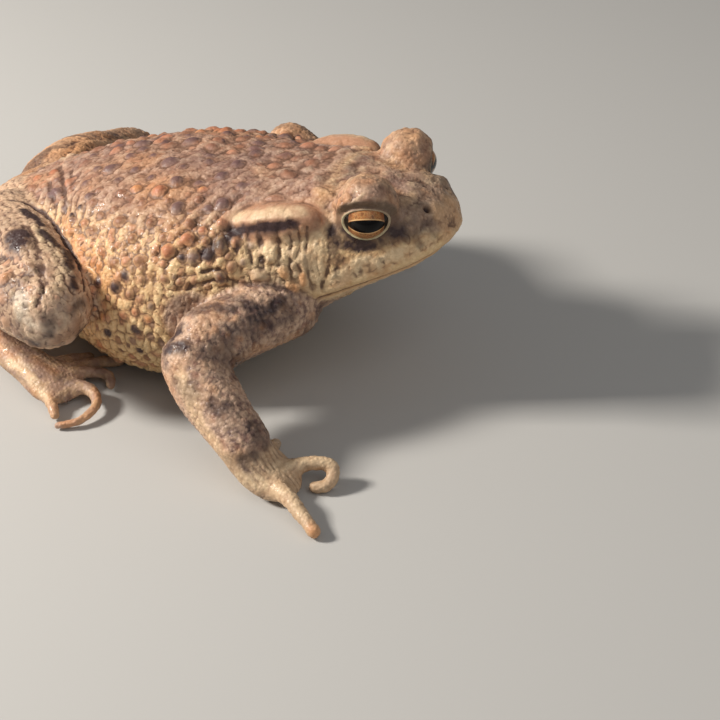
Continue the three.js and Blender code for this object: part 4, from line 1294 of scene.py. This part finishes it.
def skinMaterial(t):
    # the ground colours of the flank and belly, paler on the crests as painted light, and over them, each by
    # its share, those of the other regions, the warts, the marks, painted shade in the hollows and round the
    # eyes, and the lids
    s = Shader("toad skin")
    v = s.value
    wart, tone, hollow, calm = v("wart"), v("tone"), v("hollow"), v("calm")
    # higher on the crests of the relief and lower in its hollows: the colours below that grow paler with it
    # give the crests painted light and the hollows painted shade
    stones = 0.5 - hollow * 0.6
    broad, patchy, speckle = s.cloud(6, 3, 0.6), s.cloud(2.0, 3, 0.65, 1), s.cloud(0.5, 3, 0.65, 2)
    grain = s.cells(0.62)
    back = s.mix(t["back"], t["backPale"], (patchy * 0.9 + stones * 0.35 + broad * 0.3).step(0.6, 1.05))
    back = s.mix(back, t["mauve"], broad.step(0.48, 0.62) * 0.4)
    arm = s.mix(t["limbDark"], t["limb"], (patchy * 0.9 + speckle * 0.3 + stones * 0.2).step(0.43, 0.83))
    arm = s.mix(arm, t["warm"], broad.step(0.5, 0.65) * 0.3)
    leg = s.mix(t["limbDark"], t["limb"], (patchy * 0.9 + stones * 0.5).step(0.3, 0.7))
    face = s.mix(t["face"], t["facePale"], (patchy * 1.1 + speckle * 0.3).step(0.5, 0.85))
    gland = s.mix(t["gland"], t["backPale"], patchy.step(0.5, 0.75) * 0.5)
    warts = t["mauve"]
    steps = {"brown": (0.12, 0.36), "pink": (0.42, 0.56), "redBrown": (0.6, 0.74), "orange": (0.8, 0.94)}
    for kind, span in steps.items():
        warts = s.mix(warts, t[kind], tone.step(*span))
    # how much less painted shade the hollows get on the limbs, hands, feet and belly
    spared = v("limb") * 0.55 + v("hand") * 0.3 + v("under") * 0.3
    colour = s.mix(t["tan"], t["cream"], (patchy * 0.9 + stones * 0.5).step(0.45, 0.95))
    for paint, share in (
        (t["belly"], v("under") * 0.5),
        (t["warm"], v("warmZone") * 0.65),
        (back, (v("back") * (broad * 0.6 + 0.7)).most(1)),
        (t["warm"], v("back") * v("warmZone") * 0.6),
        (arm, v("limb")),
        (leg, v("leg") * 0.8),
        (t["hand"], v("hand") * (patchy * 0.8 + 0.35).most(1)),
        (t["foot"], v("foot") * patchy.step(0.35, 0.6) * 0.6),
        (face, v("face") * 0.9),
        (gland, v("gland") * 0.95),
        (warts, wart * (0.7 + 0.3 * patchy)),
        # painted highlight: paler on the crests of the relief, off the warts
        (t["pale"], (0 - hollow).step(0.2, 1) * (1 - wart) * 0.12),
        (t["pale"], v("pale").most(1) * (patchy * 1.2 + stones * 0.3).step(0.2, 0.85) * 0.9),
        (t["milk"], (v("milk") * (patchy * 0.7 + 0.45)).most(0.9)),
        (t["orange"], v("warm") * 0.8),
        # painted shade: darker in the hollows of the relief
        (t["hollowShade"], hollow.step(0.05, 0.8) * (0.75 - spared)),
        (t["dark"], (v("dark") * (0.75 + 0.35 * patchy + 0.25 * speckle - stones * 0.12)).most(0.97)),
        # painted shade in the groove above each eye and along the lids' inner edges
        (t["lidFoldShade"], v("lidFoldShade") * 0.75),
        (t["lid"], v("lid") * 0.9),
    ):
        colour = s.mix(colour, paint, share)
    colour = s.multiply(colour, s.grey(0.82 + speckle * 0.36, 0.1))
    colour = s.multiply(colour, s.grey(1.05 - grain.step(0.3, 0.75) * 0.12, 0.2))
    damp = s.cloud(1.3, 3, 0.65, 3).step(0.5, 0.7)
    rough = 0.6 - 0.4 * damp - 0.1 * speckle
    fine = (grain.step(0.05, 0.72) * (0.1 + 0.3 * calm) + s.cloud(0.45, 3, 0.7, 4) * 0.45) * (1 - wart * 0.6)
    normal = s.node("Bump", {}, {"Strength": 0.8, "Distance": 0.2 * mm, "Height": 1 - fine})
    return s.finish(Base_Color=colour, Roughness=rough, Normal=normal, Specular_IOR_Level=0.38)


skinData.materials.append(skinMaterial(skinTones))
print("skin coloured")


# Eyes

eyeLook = {
    "bulge": 0.6,  # how far the clear front stands out
    "bulgeSpan": 52,
    "pupil": (44, 13.5),  # half width and half height in degrees
    "pupilAt": (0, -1.2),
    "arch": 5,  # how far the middle of the pupil stands over its ends
    "irisSpan": 44,  # past this it is dark
    "copper": (0.35, 0.12, 0.042),
    "gold": (0.53, 0.32, 0.13),
    # the gold line round the pupil, made bright as a painted highlight
    "giltAndHighlight": (0.85, 0.55, 0.26),
    "rust": (0.14, 0.035, 0.016),
    "black": (0.003, 0.0025, 0.0025),
    "corner": (0.012, 0.008, 0.006),
}


def eyeSurface(look, centre, name, rings=110, turns=128):
    # a ball round the line it looks along: its radius swells by a cosine within the clear front
    lean = np.radians(np.concatenate([np.linspace(0.4, 70, rings), np.linspace(73, 178, 30)]))[:, None]
    turn = np.arange(turns)[None, :] * 2 * np.pi / turns
    swell = look["bulge"] * (0.5 + 0.5 * np.cos(np.pi * np.clip(np.degrees(lean) / look["bulgeSpan"], 0, 1)))
    reach = (eye["radius"] + swell)[..., None]
    axis = direction(eye["heading"][name], eye["lift"])
    ahead = unit(np.cross(axis, (0, 0, 1)))
    up = np.cross(ahead, axis)
    across, rise = (np.sin(lean) * np.cos(turn))[..., None], (np.sin(lean) * np.sin(turn))[..., None]
    rings3d = (across * ahead + rise * up + np.cos(lean)[..., None] * axis) * reach
    mirror = np.array((1, sides[name], 1))
    first, last = axis * (eye["radius"] + look["bulge"]), -axis * eye["radius"]
    points, faces = closedSurface(rings3d * mirror + centre, first * mirror + centre, last * mirror + centre)
    if name == "left":
        faces = [face[::-1] for face in faces]
    lean, turn = np.broadcast_arrays(np.degrees(lean), turn)
    flat = [np.concatenate([(lean * wave(turn)).ravel(), [0, 0]]) for wave in (np.cos, np.sin)]
    return points, faces, flat


def eyeMaterial(look):
    # a level black pupil that runs into the dark corners, a gold line round it, brightened as a painted
    # highlight, and a copper iris
    s = Shader("toad eye")
    across, rise = s.value("across"), s.value("rise")
    width, high = look["pupil"]
    a = (across - look["pupilAt"][0]) / width
    b = (rise - look["pupilAt"][1] - (1 - a * a) * look["arch"]) / high
    inside = a * a + b * b  # 1 on the pupil's edge
    streaks = s.cloud(0.16, 3, 0.7)
    flecks = s.cloud(0.5, 2, 0.5, 1)
    iris = s.mix(look["copper"], look["gold"], (streaks * 0.8 + flecks * 0.5).step(0.5, 0.85))
    iris = s.mix(iris, look["rust"], flecks.step(0.48, 0.7) * 0.75)
    # a gold line round the pupil, partly the iris's own gold and partly a painted highlight
    iris = s.mix(iris, look["giltAndHighlight"], inside.step(1.0, 1.15) * (1 - inside.step(1.15, 1.55)) * 0.85)
    edge = abs(across)
    iris = s.mix(iris, look["rust"], (edge + flecks * 8).step(32, 42) * 0.6)
    iris = s.mix(iris, look["corner"], (edge + flecks * 3).step(look["irisSpan"] - 2, look["irisSpan"] + 2))
    colour = s.mix(look["black"], iris, inside.step(0.94, 1.06))
    return s.finish(
        Base_Color=colour, Roughness=0.4, Specular_IOR_Level=0.05,
        Coat_Weight=1.0, Coat_Roughness=0.03, Coat_IOR=1.22,
    )


eyes = []
eyePaint = eyeMaterial(eyeLook)
for centre, name in zip(bothSides(eye["at"]), sides):
    points, faces, (across, rise) = eyeSurface(eyeLook, centre, name)
    ball = addMesh(name + "Eyeball", points, faces)
    ball.data.attributes.new("across", "FLOAT", "POINT").data.foreach_set("value", across)
    ball.data.attributes.new("rise", "FLOAT", "POINT").data.foreach_set("value", rise)
    ball.data.shade_smooth()
    ball.data.materials.append(eyePaint)
    eyes.append(ball)
print("eyes made")


# The floor and the light

studio = {
    "floor": (0.5, 0.49, 0.47),
    "floorSize": 3.0,
    "world": 0.2,
    "worldColour": (0.97, 0.98, 1),
    "key": {
        "heading": 205, "lift": 37, "distance": 0.5, "size": 0.09, "power": 3.7, "colour": (1, 0.95, 0.88),
    },
    "fill": {
        "heading": 330, "lift": 45, "distance": 0.6, "size": 0.5, "power": 0.7, "colour": (1, 0.98, 0.96),
    },
}


def addFloor(size, colour):
    points = np.array([(-1, -1, 0), (1, -1, 0), (1, 1, 0), (-1, 1, 0)]) * size / 2 / mm
    floor = addMesh("floor", points - (0, 0, 0.02), [(0, 1, 2, 3)])
    s = Shader("floor")
    floor.data.materials.append(s.finish(Base_Color=colour, Roughness=0.85))


def addLight(name, lamp):
    data = bpy.data.lights.new(name, "AREA")
    data.size = lamp["size"]
    data.energy = lamp["power"]
    data.color = lamp["colour"]
    light = bpy.data.objects.new(name, data)
    h, v = np.radians(lamp["heading"]), np.radians(lamp["lift"])
    at = Vector((np.cos(h) * np.cos(v), np.sin(h) * np.cos(v), np.sin(v))) * lamp["distance"]
    light.location = at
    light.rotation_euler = at.to_track_quat("Z", "Y").to_euler()
    scene.collection.objects.link(light)


addFloor(studio["floorSize"], studio["floor"])
for name in ("key", "fill"):
    addLight(name, studio[name])
world = bpy.data.worlds.new("studio")
world.use_nodes = True
sky = world.node_tree.nodes["Background"]
sky.inputs["Color"].default_value = (*studio["worldColour"], 1)
sky.inputs["Strength"].default_value = studio["world"]
scene.world = world
scene.view_settings.view_transform = "Standard"
print("studio lit")

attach(skin, "root")
fleshNodes = [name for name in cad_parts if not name.startswith("eye_")]
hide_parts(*fleshNodes)
for ball, name in zip(eyes, sides):
    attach(ball, "root")
    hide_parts("eye_" + name)
